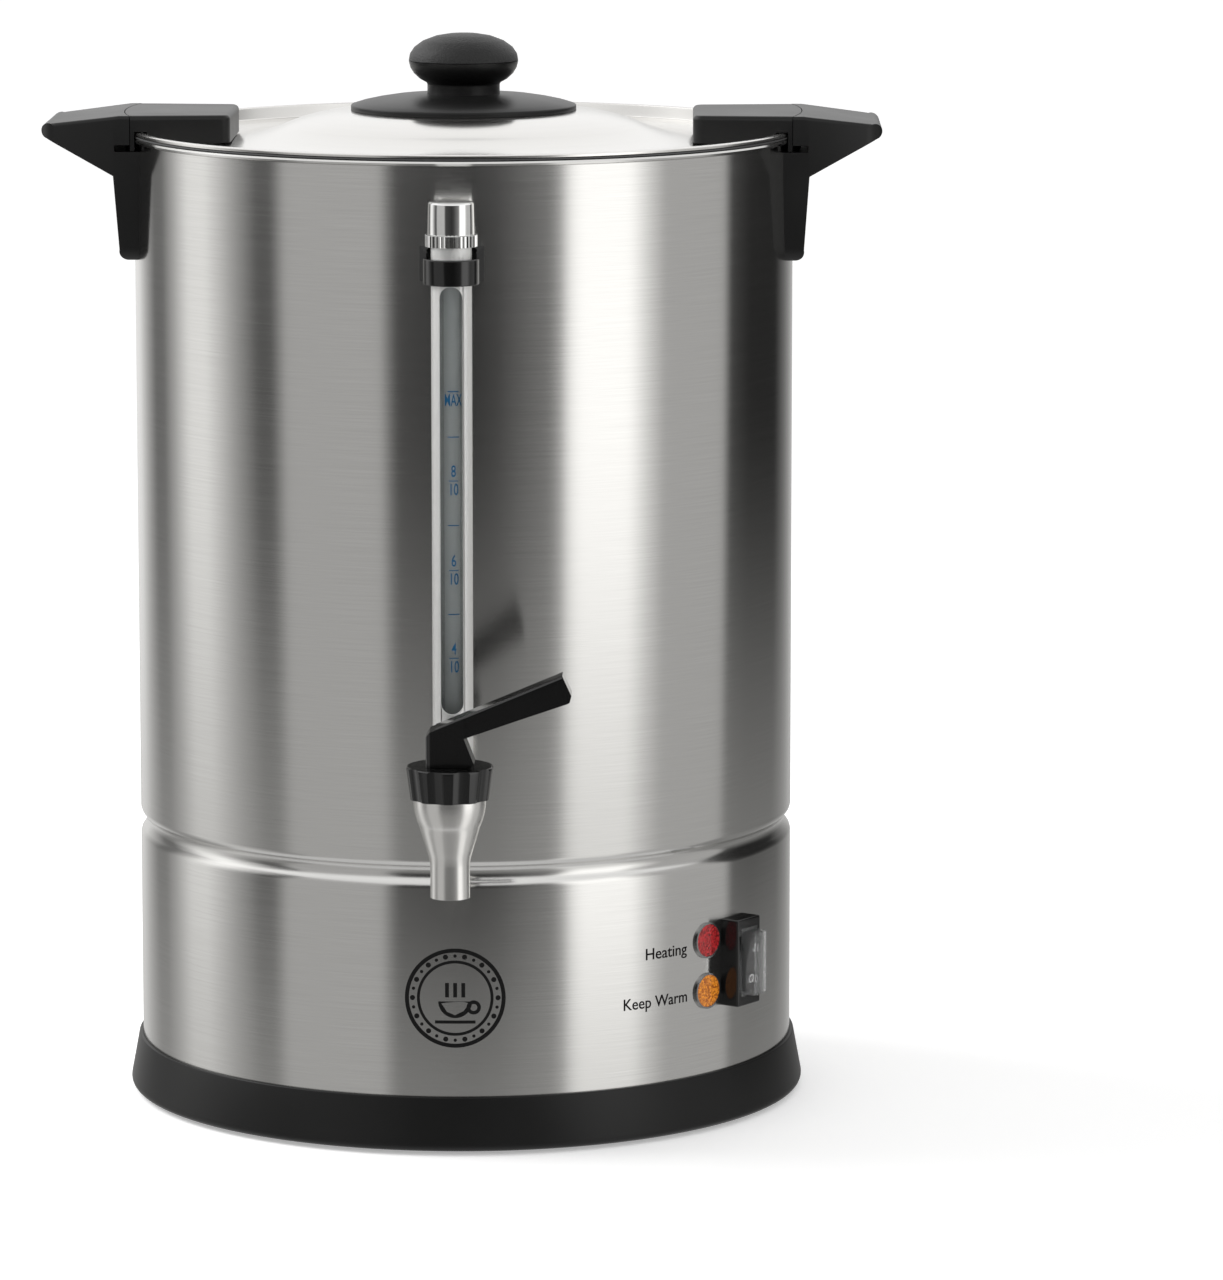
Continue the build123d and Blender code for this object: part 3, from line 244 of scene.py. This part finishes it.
wears(mill_steel, "body_tabs", "tank_floor", "bottom_plate", "base_screws", "element_studs",
      "element_nuts", "heating_element", "grip_screws", "clamp_screw", "inlet_screws", "ear_screws", "knob_screw",
      "pump_tube", "filter_basket", "basket_cover", "lever_pin", "tap_spring")

# Cast aluminium: the heat plate under the tank and the pump's flared foot, with the
# slightly rough skin of a die casting.
cast_metal = Finish("cast_metal", (0.55, 0.55, 0.55), metallic=1.0, roughness=0.45)
pits = cast_metal.noise(cast_metal.place(), 900, 3.0)
cast_metal.feed("Roughness", 0.38 + pits * 0.2)
cast_metal.feed("Base Color", cast_metal.blend(pits, (0.5, 0.5, 0.5), (0.62, 0.62, 0.63)))
cast_metal.bump(pits, 0.3, 0.0001)
wears(cast_metal, "heat_plate", "pump_foot")

# Brass turned parts: the shank with its nut, the valve's stem and the inlet's pins.
brass = Finish("brass", (0.72, 0.55, 0.26), metallic=1.0, roughness=0.25)
tool_marks = brass.noise(brass.place(stretch=(1, 20, 1)), 400, 2.0)
brass.feed("Roughness", 0.2 + tool_marks * 0.15)
brass.feed("Base Color", brass.blend(tool_marks, (0.66, 0.49, 0.22), (0.78, 0.61, 0.31)))
wears(brass, "tap_shank", "shank_nut", "inlet_pins", "tap_stem")

# Silicone rubber: the gauge's sleeves, the washers at the wall and the valve's cup. It is
# moulded, greyish white, soft and slightly dusty.
silicone = Finish("silicone", (0.56, 0.55, 0.52), roughness=0.5, subsurface_weight=0.1)
dust = silicone.noise(silicone.place(), 500, 3.0)
silicone.feed("Roughness", 0.42 + dust * 0.2)
silicone.feed("Base Color", silicone.blend(dust, (0.5, 0.49, 0.46), (0.62, 0.61, 0.58)))
wears(silicone, "gauge_seals", "tap_gaskets", "seat_cup")

# Dark rubber: the ring under the lid's edge and the ring that the urn stands on, plain
# mouldings with a faint dusty speckle.
dark_seal = Finish("dark_seal", (0.05, 0.05, 0.05), roughness=0.55)
speck = dark_seal.noise(dark_seal.place(), 900, 2.0)
dark_seal.feed("Base Color", dark_seal.blend(speck, (0.03, 0.03, 0.03), (0.07, 0.07, 0.07)))
wears(dark_seal, "lid_seal", "foot_ring")

# White heat-proof plastic: the two sensors' cans and the lamps' nuts, moulded with a
# faint eggshell skin.
white_plastic = Finish("white_plastic", (0.75, 0.74, 0.71), roughness=0.45)
shell_grain = white_plastic.noise(white_plastic.place(), 1500, 2.0)
white_plastic.feed("Base Color", white_plastic.blend(
    shell_grain, (0.70, 0.69, 0.66), (0.79, 0.78, 0.76)))
white_plastic.feed("Roughness", 0.4 + shell_grain * 0.12)
wears(white_plastic, "thermostat", "thermal_cutout", "lamp_nuts", width=0.0003)

# The base skirt: a deep ring moulded in black heat-proof plastic, flared towards the
# counter. Its skin has the fine even grain of an etched mould.


def black_moulding(name, dark, light, rough, grain_scale, depth, shine=0.28):
    finish = Finish(name, dark, roughness=rough, specular_ior_level=shine)
    grain = finish.noise(finish.place(), grain_scale, 2.5, 0.6)
    cloud = finish.noise(finish.place(), 25, 2.0)
    finish.feed("Base Color", finish.blend(cloud, dark, light))
    finish.feed("Roughness", rough - 0.05 + cloud * 0.1)
    finish.bump(grain, 0.35, depth)
    return finish


skirt_black = black_moulding(
    "skirt_black", (0.004, 0.004, 0.004), (0.008, 0.008, 0.008), 0.38, 1800, 0.00006)
skirt = spun(
    [(150.1, 25.7), (151.7, 25.7), (156.2, 1.5), (134.5, 1.5), (134.5, 3.0), (127.5, 3.0),
     (127.5, 1.5), (120, 1.5), (120, 5.5), (150.1, 5.5)],
    rounds=[(156.2, 1.5, 4.2, 8), (151.7, 25.7, 0.5, 3)], steps=256,
)
finished("skirt", skirt, skirt_black, "kettle", ["base_skirt"])

# The grips and the lid's ears: glass-filled black plastic, moulded with crisp but rounded
# edges and a fine grain, and held by screws. The inlet's socket is the same plastic.
grip_black = black_moulding(
    "grip_black", (0.004, 0.004, 0.004), (0.008, 0.008, 0.008), 0.36, 1500, 0.00005)
wears(grip_black, "right_grip", "left_grip", width=0.0018)
wears(grip_black, "right_ear", "left_ear", width=0.0014)
wears(grip_black, "inlet_socket", width=0.0005)

# The gauge: a glass tube in a guard of satin-blasted metal with a long window down its
# front, closed by a knurled ring and a polished cap.
satin = Finish("satin_metal", (0.80, 0.80, 0.79), metallic=1.0, roughness=0.34)
blast = satin.noise(satin.place(), 2600, 2.0, 0.7)
satin.feed("Roughness", 0.30 + blast * 0.2)
satin.feed("Base Color", satin.blend(blast, (0.70, 0.70, 0.69), (0.92, 0.92, 0.91)))
satin.bump(blast, 0.8, 0.0003)
wears(satin, "gauge_guard", width=0.00025)

chrome = Finish("chrome", (0.80, 0.80, 0.79), metallic=1.0, roughness=0.06)
haze = chrome.noise(chrome.place(), 300, 2.0)
chrome.feed("Roughness", 0.04 + haze * 0.07)
chrome.feed("Base Color", chrome.blend(haze, (0.76, 0.76, 0.75), (0.84, 0.84, 0.83)))
wears(chrome, "gauge_ring", width=0.0001)
gauge_at = (0, -164)
cap = spun([(6.1, 410.7), (10.4, 410.7), (10.0, 425.0), (0, 425.0), (0, 421), (6.1, 421)],
           rounds=[(10.0, 425.0, 1.0, 5), (10.4, 410.7, 0.25, 2)], steps=96, centre=gauge_at)
finished("gauge_top", cap, chrome, "kettle", ["gauge_cap"])

glass = Finish("gauge_glass", (0.62, 0.65, 0.65), roughness=0.03, transmission_weight=0.9, ior=1.3)
streak = glass.noise(glass.place(stretch=(40, 40, 1)), 8, 2.0)
glass.feed("Roughness", 0.02 + streak * 0.05)
glass.shader.inputs["Alpha"].default_value = 0.45
tube = spun([(4.5, 166), (6.0, 166), (6.0, 419.8), (4.5, 419.8)], steps=64, centre=gauge_at)
finished("glass_tube", tube, glass, "kettle", ["gauge_glass"])

# The gauge's scale: blue ceramic print on the glass, a line for the fill limit and tenths
# of it below, with plain strokes between the numbered ones.
print_blue = Finish("print_blue", (0.006, 0.07, 0.16), roughness=0.7, specular_ior_level=0.1)
wear = print_blue.noise(print_blue.place(), 1500, 2.0)
print_blue.feed("Base Color", print_blue.blend(wear, (0.004, 0.055, 0.13), (0.012, 0.10, 0.22)))


def wrapped(bm, radius, azimuth, height, centre=(0, 0)):
    """Bends a flat drawing in millimetres round an upright cylinder that faces an azimuth."""
    long_edges = [e for e in bm.edges if e.calc_length() > 2.0]
    if long_edges:
        bmesh.ops.subdivide_edges(bm, edges=long_edges, cuts=6, use_grid_fill=True)
    for v in bm.verts:
        turn = math.radians(azimuth) + v.co.x / radius
        reach = radius + v.co.z
        v.co = Vector((centre[0] + reach * math.sin(turn), centre[1] - reach * math.cos(turn),
                       height + v.co.y))
    bmesh.ops.recalc_face_normals(bm, faces=bm.faces)
    return bm


capital_share = 0.72
boldness = 0.012


def lettering(words, tall, narrow, thick=0.02):
    """Raised flat letters in millimetres, centred on the origin."""
    curve = bpy.data.curves.new("letters", "FONT")
    curve.body = words
    curve.size = tall / capital_share
    curve.align_x = "CENTER"
    curve.align_y = "CENTER"
    curve.extrude = thick
    curve.offset = boldness * tall
    curve.resolution_u = 4
    text = bpy.data.objects.new("letters", curve)
    bpy.context.scene.collection.objects.link(text)
    bpy.context.view_layer.update()
    mesh = bpy.data.meshes.new_from_object(text)
    bm = bmesh.new()
    bm.from_mesh(mesh)
    bpy.data.objects.remove(text)
    bpy.data.curves.remove(curve)
    bpy.data.meshes.remove(mesh)
    bmesh.ops.remove_doubles(bm, verts=bm.verts, dist=0.001)
    bmesh.ops.scale(bm, vec=(narrow, 1, 1), verts=bm.verts)
    return bm


print_thick = 0.04


def stroke(width, tall):
    bm = bmesh.new()
    bmesh.ops.create_cube(bm, size=1)
    bmesh.ops.scale(bm, vec=(width, tall, print_thick), verts=bm.verts)
    return bm


def together(*drawings):
    """Joins drawings, each given with its own shift across the face."""
    whole = bmesh.new()
    for bm, shift in drawings:
        bmesh.ops.translate(bm, vec=(*shift, 0), verts=bm.verts)
        mesh = bpy.data.meshes.new("drawing")
        bm.to_mesh(mesh)
        bm.free()
        whole.from_mesh(mesh)
        bpy.data.meshes.remove(mesh)
    return whole


scale_radius = 6.05
scale_azimuth = 8
tenth_heights = ((10, 343.0), (9, 323.1), (8, 303.9), (7, 284.4), (6, 264.6), (5, 245.3),
                 (4, 225.9))
for tenth, height in tenth_heights:
    if tenth == 10:
        mark = together((stroke(5.0, 0.5), (0, 0)), (lettering("MAX", 5.4, 0.5), (0, -4.0)))
    elif tenth % 2:
        mark = stroke(5.0, 0.45)
    else:
        mark = together((lettering(str(tenth), 5.2, 0.62), (0, 4.0)), (stroke(4.2, 0.4), (0, 0)),
                        (lettering("10", 5.2, 0.62), (0, -4.0)))
    finished(f"scale_{tenth}", wrapped(mark, scale_radius, scale_azimuth, height, gauge_at),
             print_blue, "kettle", ())

# The gauge's clamp, the tap's bonnet and lever, and the switch's frame: black plastic
# moulded against a polished tool, so that they shine more than the grips do.
gloss_black = black_moulding(
    "gloss_black", (0.003, 0.003, 0.003), (0.006, 0.006, 0.006), 0.13, 700, 0.00001, 0.6)
wears(gloss_black, "gauge_clamp", width=0.0005)
wears(gloss_black, "tap_bonnet", width=0.0006)
wears(gloss_black, "tap_lever", width=0.0006)
wears(gloss_black, "switch_body", width=0.0002)
wears(gloss_black, "switch_frame", width=0.0003)
wears(gloss_black, "switch_rocker", width=0.0003)

# The lever's side plate: the same black plastic, pressed flush into the near side of the
# arm, so that the hollow behind it is closed.
plate_face, plate_back = -6.95, -5.4
lever_at = (0, -205, 193.9)
plate = bmesh.new()
corners = [(30.6, 12.0), (29.4, 20.4), (47.6, 28.2), (51.6, 20.6), (51.2, 19.0)]
near = [plate.verts.new((px, plate_face, pz)) for px, pz in corners]
far = [plate.verts.new((px, plate_back, pz)) for px, pz in corners]
plate.faces.new(near)
plate.faces.new(far[::-1])
for i in range(len(corners)):
    j = (i + 1) % len(corners)
    plate.faces.new((near[i], far[i], far[j], near[j]))
bmesh.ops.recalc_face_normals(plate, faces=plate.faces)
bmesh.ops.translate(plate, vec=lever_at, verts=plate.verts)
finished("lever_plate", plate, gloss_black, "lever", ())

# The tap's body: one steel casting of bell, spout, arm and gauge socket, ground and
# satin-polished in lines that run down it.
bell_steel = Finish("bell_steel", (0.8, 0.79, 0.77), metallic=1.0, roughness=0.24)
x, y, z = bell_steel.parts(bell_steel.place((0, -0.205, 0)))
around = bell_steel.node("ShaderNodeMath", {"operation": "ARCTAN2"}, {0: x, 1: y})
unrolled = bell_steel.node("ShaderNodeCombineXYZ", {}, {0: around * 60, 1: z * 90})
lines = bell_steel.noise(unrolled, 1.0, 3.0)
bell_steel.feed("Roughness", 0.18 + lines * 0.12)
bell_steel.feed("Base Color", bell_steel.blend(lines, (0.74, 0.73, 0.71), (0.86, 0.85, 0.83)))
bell_steel.bump(lines, 0.15, 0.00005)
wears(bell_steel, "tap_body", width=0.0003)

# The lamps: small domed lenses in clear coloured plastic with a pattern of facets inside,
# red for heating and amber for keeping warm, each held in a turned metal bezel.


facet_scale = 1150


def lens_finish(name, deep, bright, glow):
    finish = Finish(name, deep, roughness=0.12, coat_weight=0.5, emission_strength=glow)
    facets, cells = (finish.node("ShaderNodeTexVoronoi", {}, {
        "Vector": finish.place(), "Scale": facet_scale}, out) for out in ("Distance", "Color"))
    shade = finish.parts(cells)[0]
    finish.feed("Base Color", finish.blend(shade, deep, bright))
    finish.feed("Emission Color", finish.blend(shade, deep, bright))
    finish.bump(facets, 0.5, 0.0004)
    return finish


red_lens = lens_finish("red_lens", (0.10, 0.003, 0.004), (0.50, 0.016, 0.02), 0.10)
amber_lens = lens_finish("amber_lens", (0.28, 0.06, 0.003), (0.85, 0.30, 0.02), 0.14)
wears(red_lens, "heating_lamp", width=0.0002)
wears(amber_lens, "keep_warm_lamp", width=0.0002)
bezel_metal = Finish("bezel_metal", (0.3, 0.3, 0.3), metallic=1.0, roughness=0.2)
dull = bezel_metal.noise(bezel_metal.place(), 900, 2.0)
bezel_metal.feed("Roughness", 0.16 + dull * 0.1)
bezel_metal.feed("Base Color", bezel_metal.blend(dull, (0.25, 0.25, 0.25), (0.36, 0.36, 0.36)))
wears(bezel_metal, "lamp_bezels", width=0.0002)

# The switch's splash cover: a soft clear boot, thin and slightly milky, over the rocker.
# The rocker carries a ring and a stroke, printed in white.
boot = Finish("clear_boot", (0.92, 0.93, 0.93), roughness=0.05, transmission_weight=0.9, ior=1.3)
milk = boot.noise(boot.place(), 160, 2.0)
boot.feed("Roughness", 0.03 + milk * 0.06)
boot.shader.inputs["Alpha"].default_value = 0.32
wears(boot, "splash_cover", width=0.0003)

print_white = Finish("print_white", (0.8, 0.8, 0.8), roughness=0.5)
thin = print_white.noise(print_white.place(), 1200, 2.0)
print_white.feed("Base Color", print_white.blend(thin, (0.72, 0.72, 0.72), (0.88, 0.88, 0.88)))
rocker_face = 5.55
lean = math.radians(7)
switch_turn = math.radians(55)
switch_reach = 156
switch_height = 75.3
for mark_name, words, along in (("off_mark", "O", -7.4), ("on_mark", "I", 7.4)):
    mark = lettering(words, 4.2, 0.8, 0.05)
    bmesh.ops.translate(mark, vec=(0, along, rocker_face), verts=mark.verts)
    bmesh.ops.rotate(mark, cent=(0, 0, 0), matrix=Matrix.Rotation(lean, 3, "X"), verts=mark.verts)
    place = Matrix((
        (math.cos(switch_turn), 0, math.sin(switch_turn), switch_reach * math.sin(switch_turn)),
        (math.sin(switch_turn), 0, -math.cos(switch_turn), -switch_reach * math.cos(switch_turn)),
        (0, 1, 0, switch_height),
        (0, 0, 0, 1),
    ))
    bmesh.ops.transform(mark, matrix=place, verts=mark.verts)
    finished(mark_name, mark, print_white, "rocker", ())

# The printing on the drum: dark ink for the two lamps' plain words, and a round badge of
# rings, dots and a steaming cup above the skirt.
ink = Finish("ink", (0.006, 0.006, 0.006), roughness=0.8, specular_ior_level=0.1)
patchy = ink.noise(ink.place(), 900, 2.0)
ink.feed("Base Color", ink.blend(patchy, (0.004, 0.004, 0.004), (0.010, 0.010, 0.010)))
word_radius, badge_radius = 150.05, 150.03
for word_name, words, narrow, azimuth, height in (
        ("heating_word", "Heating", 1.04, 38.5, 84.6),
        ("keep_warm_word", "Keep Warm", 0.97, 36.4, 62.8)):
    word = wrapped(lettering(words, 5.3, narrow), word_radius, azimuth, height)
    finished(word_name, word, ink, "kettle", ())


def hoop(inner, outer, steps=72):
    bm = bmesh.new()
    first = bmesh.ops.create_circle(bm, radius=inner, segments=steps)["verts"]
    second = bmesh.ops.create_circle(bm, radius=outer, segments=steps)["verts"]
    rim = [e for e in bm.edges if all(v in first for v in e.verts)]
    rim += [e for e in bm.edges if all(v in second for v in e.verts)]
    faces = bmesh.ops.bridge_loops(bm, edges=rim)["faces"]
    raised = bmesh.ops.extrude_face_region(bm, geom=faces)["geom"]
    lifted = [v for v in raised if isinstance(v, bmesh.types.BMVert)]
    bmesh.ops.translate(bm, vec=(0, 0, print_thick), verts=lifted)
    return bm


def dot(radius, steps=20):
    bm = bmesh.new()
    bmesh.ops.create_cone(bm, cap_ends=True, segments=steps, radius1=radius, radius2=radius,
                          depth=print_thick)
    return bm


cup = dot(7.5, steps=48)
cut = bmesh.ops.bisect_plane(cup, geom=cup.verts[:] + cup.edges[:] + cup.faces[:],
                             plane_co=(0, 0, 0), plane_no=(0, 1, 0), clear_outer=True)["geom_cut"]
bmesh.ops.edgeloop_fill(cup, edges=[e for e in cut if isinstance(e, bmesh.types.BMEdge)])
dots = 28
badge = [(hoop(20.6, 22.4), (0, 0)), (hoop(15.7, 17.0), (0, 0)), (cup, (0, -1.5)),
         (hoop(1.6, 3.2, 28), (8.2, -4.2)), (stroke(18.0, 1.4), (0, -10.8))]
badge += [(stroke(1.7, 6.5), (x, 3.6)) for x in (-3.6, 0.0, 3.6)]
for i in range(dots):
    turn = 2 * math.pi * i / dots
    badge.append((dot(1.15 if i % 2 else 0.75), (19.0 * math.sin(turn), 19.0 * math.cos(turn))))
finished("badge", wrapped(together(*badge), badge_radius, 0, 70.4), ink, "kettle", ())

# The lid: one pressing in brighter, finer-brushed steel, with a rolled edge that sits on
# the bead, a flat trough and a dome that rises to the knob.
lid_steel = Finish("lid_steel", (0.74, 0.73, 0.71), metallic=1.0, anisotropic=0.4)
x, y, z = lid_steel.parts(lid_steel.place())
reach = (x * x + y * y) ** 0.5
brushed = lid_steel.node("ShaderNodeCombineXYZ", {}, {0: reach * 2200, 1: z * 300})
rings = lid_steel.noise(brushed, 1.0, 2.0)
lid_steel.feed("Roughness", 0.14 + rings * 0.1)
lid_steel.feed("Base Color", lid_steel.blend(rings, (0.70, 0.69, 0.67), (0.79, 0.78, 0.76)))
lid_steel.bump(rings, 0.08, 0.00004)
lid = spun(
    [(0, 451.9), (66.75, 451.9), (97.25, 438.1), (147.8, 438.1), (147.8, 444.0), (150.4, 444.0),
     (151.05, 443.7), (151.2, 443.1), (151.05, 442.5), (150.3, 442.2), (149.6, 442.5),
     (149.4, 443.4), (148.4, 443.4), (148.4, 437.5), (97.25, 437.5), (66.75, 451.3), (0, 451.3)],
    rounds=[(66.75, 451.9, 16.5, 10), (97.25, 438.1, 16.5, 10), (66.75, 451.3, 16.5, 10),
            (97.25, 437.5, 16.5, 10), (147.8, 438.1, 0.5, 3), (147.8, 444.0, 0.5, 3)],
    steps=256,
)
finished("lid", lid, lid_steel, "lid", ["lid_pan"])

# The knob and the cone under its neck: black plastic, smooth on the neck and underside,
# with a coarse leathery grain on the top above the mould's parting line.
knob_black = Finish("knob_black", (0.005, 0.005, 0.005), roughness=0.4, specular_ior_level=0.35)
parting_line = (0, 0, 0.4742)
above = knob_black.parts(knob_black.place(parting_line))[2] > 0.0
skin = knob_black.noise(knob_black.place(parting_line), 1100, 2.5, 0.6)
knob_black.feed("Base Color", knob_black.blend(skin * above, (0.004, 0.004, 0.004), (0.012, 0.012, 0.012)))
knob_black.feed("Roughness", 0.34 + above * 0.12)
knob_black.bump(skin * above, 0.9, 0.0004)
knob = spun(
    [(0, 458.7), (16.5, 458.7), (16.5, 464.0), (19.9, 465.9), (22.6, 468.4), (24.2, 471.0),
     (24.85, 473.6), (24.9, 474.0), (24.6, 474.1), (24.9, 474.3), (24.4, 477.2), (22.4, 480.2),
     (18.4, 483.1), (12.5, 485.3), (6.5, 486.3), (0, 486.5)],
    rounds=[(16.5, 464.0, 0.8, 3)], steps=96,
)
finished("knob", knob, knob_black, "lid", ["lid_knob"])
cone = spun(
    [(0, 451.9), (51.3, 451.9), (51.3, 454.1), (46.5, 455.6), (40.5, 456.9), (33.0, 458.1),
     (24.0, 458.9), (15, 459.2), (0, 459.2)],
    rounds=[(51.3, 454.1, 0.5, 3), (51.3, 451.9, 0.25, 2)], steps=192,
)
finished("knob_cone", cone, skirt_black, "lid", ["knob_flange"])

# The stand: a plain pale floor, large enough to fill the view.
floor_white = Finish("floor_white", (0.9, 0.9, 0.9), roughness=0.8, emission_strength=0.36)
floor_grain = floor_white.noise(floor_white.place(), 3, 2.0)
floor_white.feed("Base Color", floor_white.blend(floor_grain, (0.89, 0.89, 0.89), (0.91, 0.91, 0.91)))
floor_white.shader.inputs["Emission Color"].default_value = (1, 1, 1, 1)
ground = bmesh.new()
bmesh.ops.create_grid(ground, x_segments=1, y_segments=1, size=20)
floor_mesh = bpy.data.meshes.new("floor")
ground.to_mesh(floor_mesh)
ground.free()
floor_mesh.materials.append(floor_white.material)
floor = bpy.data.objects.new("floor", floor_mesh)
bpy.context.scene.collection.objects.link(floor)

# The light tent: a ring of tall soft panels and dark flags that only polished surfaces
# see, brighter at the left and at the front right.
tent_radius, tent_tall, tent_foot = 0.6, 1.7, -0.4
tent = bmesh.new()
bmesh.ops.create_circle(tent, radius=tent_radius, segments=180)
raised = bmesh.ops.extrude_edge_only(tent, edges=tent.edges[:])["geom"]
lifted = [v for v in raised if isinstance(v, bmesh.types.BMVert)]
bmesh.ops.translate(tent, vec=(0, 0, tent_tall), verts=lifted)
bmesh.ops.translate(tent, vec=(0, 0, tent_foot), verts=tent.verts)
tent_mesh = bpy.data.meshes.new("tent")
tent.to_mesh(tent_mesh)
tent.free()
tent_ring = bpy.data.objects.new("tent", tent_mesh)
bpy.context.scene.collection.objects.link(tent_ring)
panels = Finish("panels", (0, 0, 0))
x, y, z = panels.parts(panels.place())
azimuth = panels.node("ShaderNodeMath", {"operation": "ARCTAN2"}, {0: x, 1: y * -1.0})
turn = azimuth / (2 * math.pi) + 0.5
panel_stops = [
    (-180, 0.8), (-142.7, 0.908), (-122.8, 0.18), (-115.3, 0.192), (-107.4, 0.515),
    (-98.1, 1.057), (-89.4, 1.08), (-75.5, 0.432), (-65.8, 0.108), (-60.2, 0.114),
    (-57.8, 0.295), (-54.8, 0.53), (-23.9, 0.53), (-21, 0.236), (-18.7, 0.071),
    (3.8, 0.036), (11.7, 0.067), (19.7, 0.153), (27.8, 0.236), (31.1, 0.48),
    (34.4, 1.344), (37.7, 1.62), (54.2, 1.62), (61, 0.96), (67.2, 0.538),
    (93.0, 0.538), (97.0, 0.062), (108.1, 0.025), (129.5, 0.025), (140.7, 0.2),
    (154.8, 0.48), (180, 0.8),
]
level = panels.node("ShaderNodeValToRGB", {"stops": [
    ((a + 180) / 360, (v / 2, v / 2 * 0.995, v / 2 * 0.985)) for a, v in panel_stops]}, {0: turn})
low_down = panels.node("ShaderNodeMapRange", {"interpolation_type": "SMOOTHSTEP"},
                       {0: z, 1: -0.12, 2: 0.25, 3: 0.55, 4: 0.0})
level = panels.blend(low_down, level, (0.25, 0.249, 0.245))
high_up = panels.node("ShaderNodeMapRange", {"interpolation_type": "SMOOTHSTEP"},
                      {0: z, 1: 0.47, 2: 0.58, 3: 0.0, 4: 1.0})
level = panels.blend(high_up, level, (0.56, 0.56, 0.56))
panel_light = panels.tree.nodes.new("ShaderNodeEmission")
panels.tree.links.new(level.socket, panel_light.inputs["Color"])
panel_light.inputs["Strength"].default_value = 2.0
panels.tree.links.new(panel_light.outputs[0], panels.tree.nodes["Material Output"].inputs["Surface"])
tent_mesh.materials.append(panels.material)
floor.visible_glossy = False
tent_ring.visible_camera = False
tent_ring.visible_diffuse = False
tent_ring.visible_shadow = False
tent_ring.visible_transmission = False

# The soft light: a white room, and one large lamp high on the left that draws the shadow
# out to the right.
world = bpy.data.worlds.new("room")
bpy.context.scene.world = world
world.use_nodes = True
world.node_tree.nodes["Background"].inputs["Color"].default_value = (1, 1, 1, 1)
world.node_tree.nodes["Background"].inputs["Strength"].default_value = 0.75
lamp_data = bpy.data.lights.new("key", "AREA")
lamp_data.shape = "RECTANGLE"
lamp_data.size = 1.2
lamp_data.size_y = 1.2
lamp_data.energy = 26
key = bpy.data.objects.new("key", lamp_data)
key.location = (-1.5, 0.35, 1.35)
key.rotation_euler = (Vector((0.1, 0, 0.1)) - key.location).to_track_quat("-Z", "Y").to_euler()
bpy.context.scene.collection.objects.link(key)

# The camera: a long lens, a little above the knob, turned slightly to the right so that
# the urn stands left of the middle.
camera_data = bpy.data.cameras.new("camera")
camera_data.sensor_width = 36
camera_data.lens = 191.6
camera_data.clip_end = 100
camera = bpy.data.objects.new("camera", camera_data)
around = math.radians(1.95)
away, eye_height = 3.1028, 0.6994
look_down, look_left = 0.1574, 0.0217
camera.location = (away * math.sin(around), -away * math.cos(around), eye_height)
camera.rotation_euler = (math.pi / 2 - look_down, 0.0, around - look_left)
bpy.context.scene.collection.objects.link(camera)
bpy.context.scene.camera = camera
bpy.context.scene.view_settings.view_transform = "Standard"
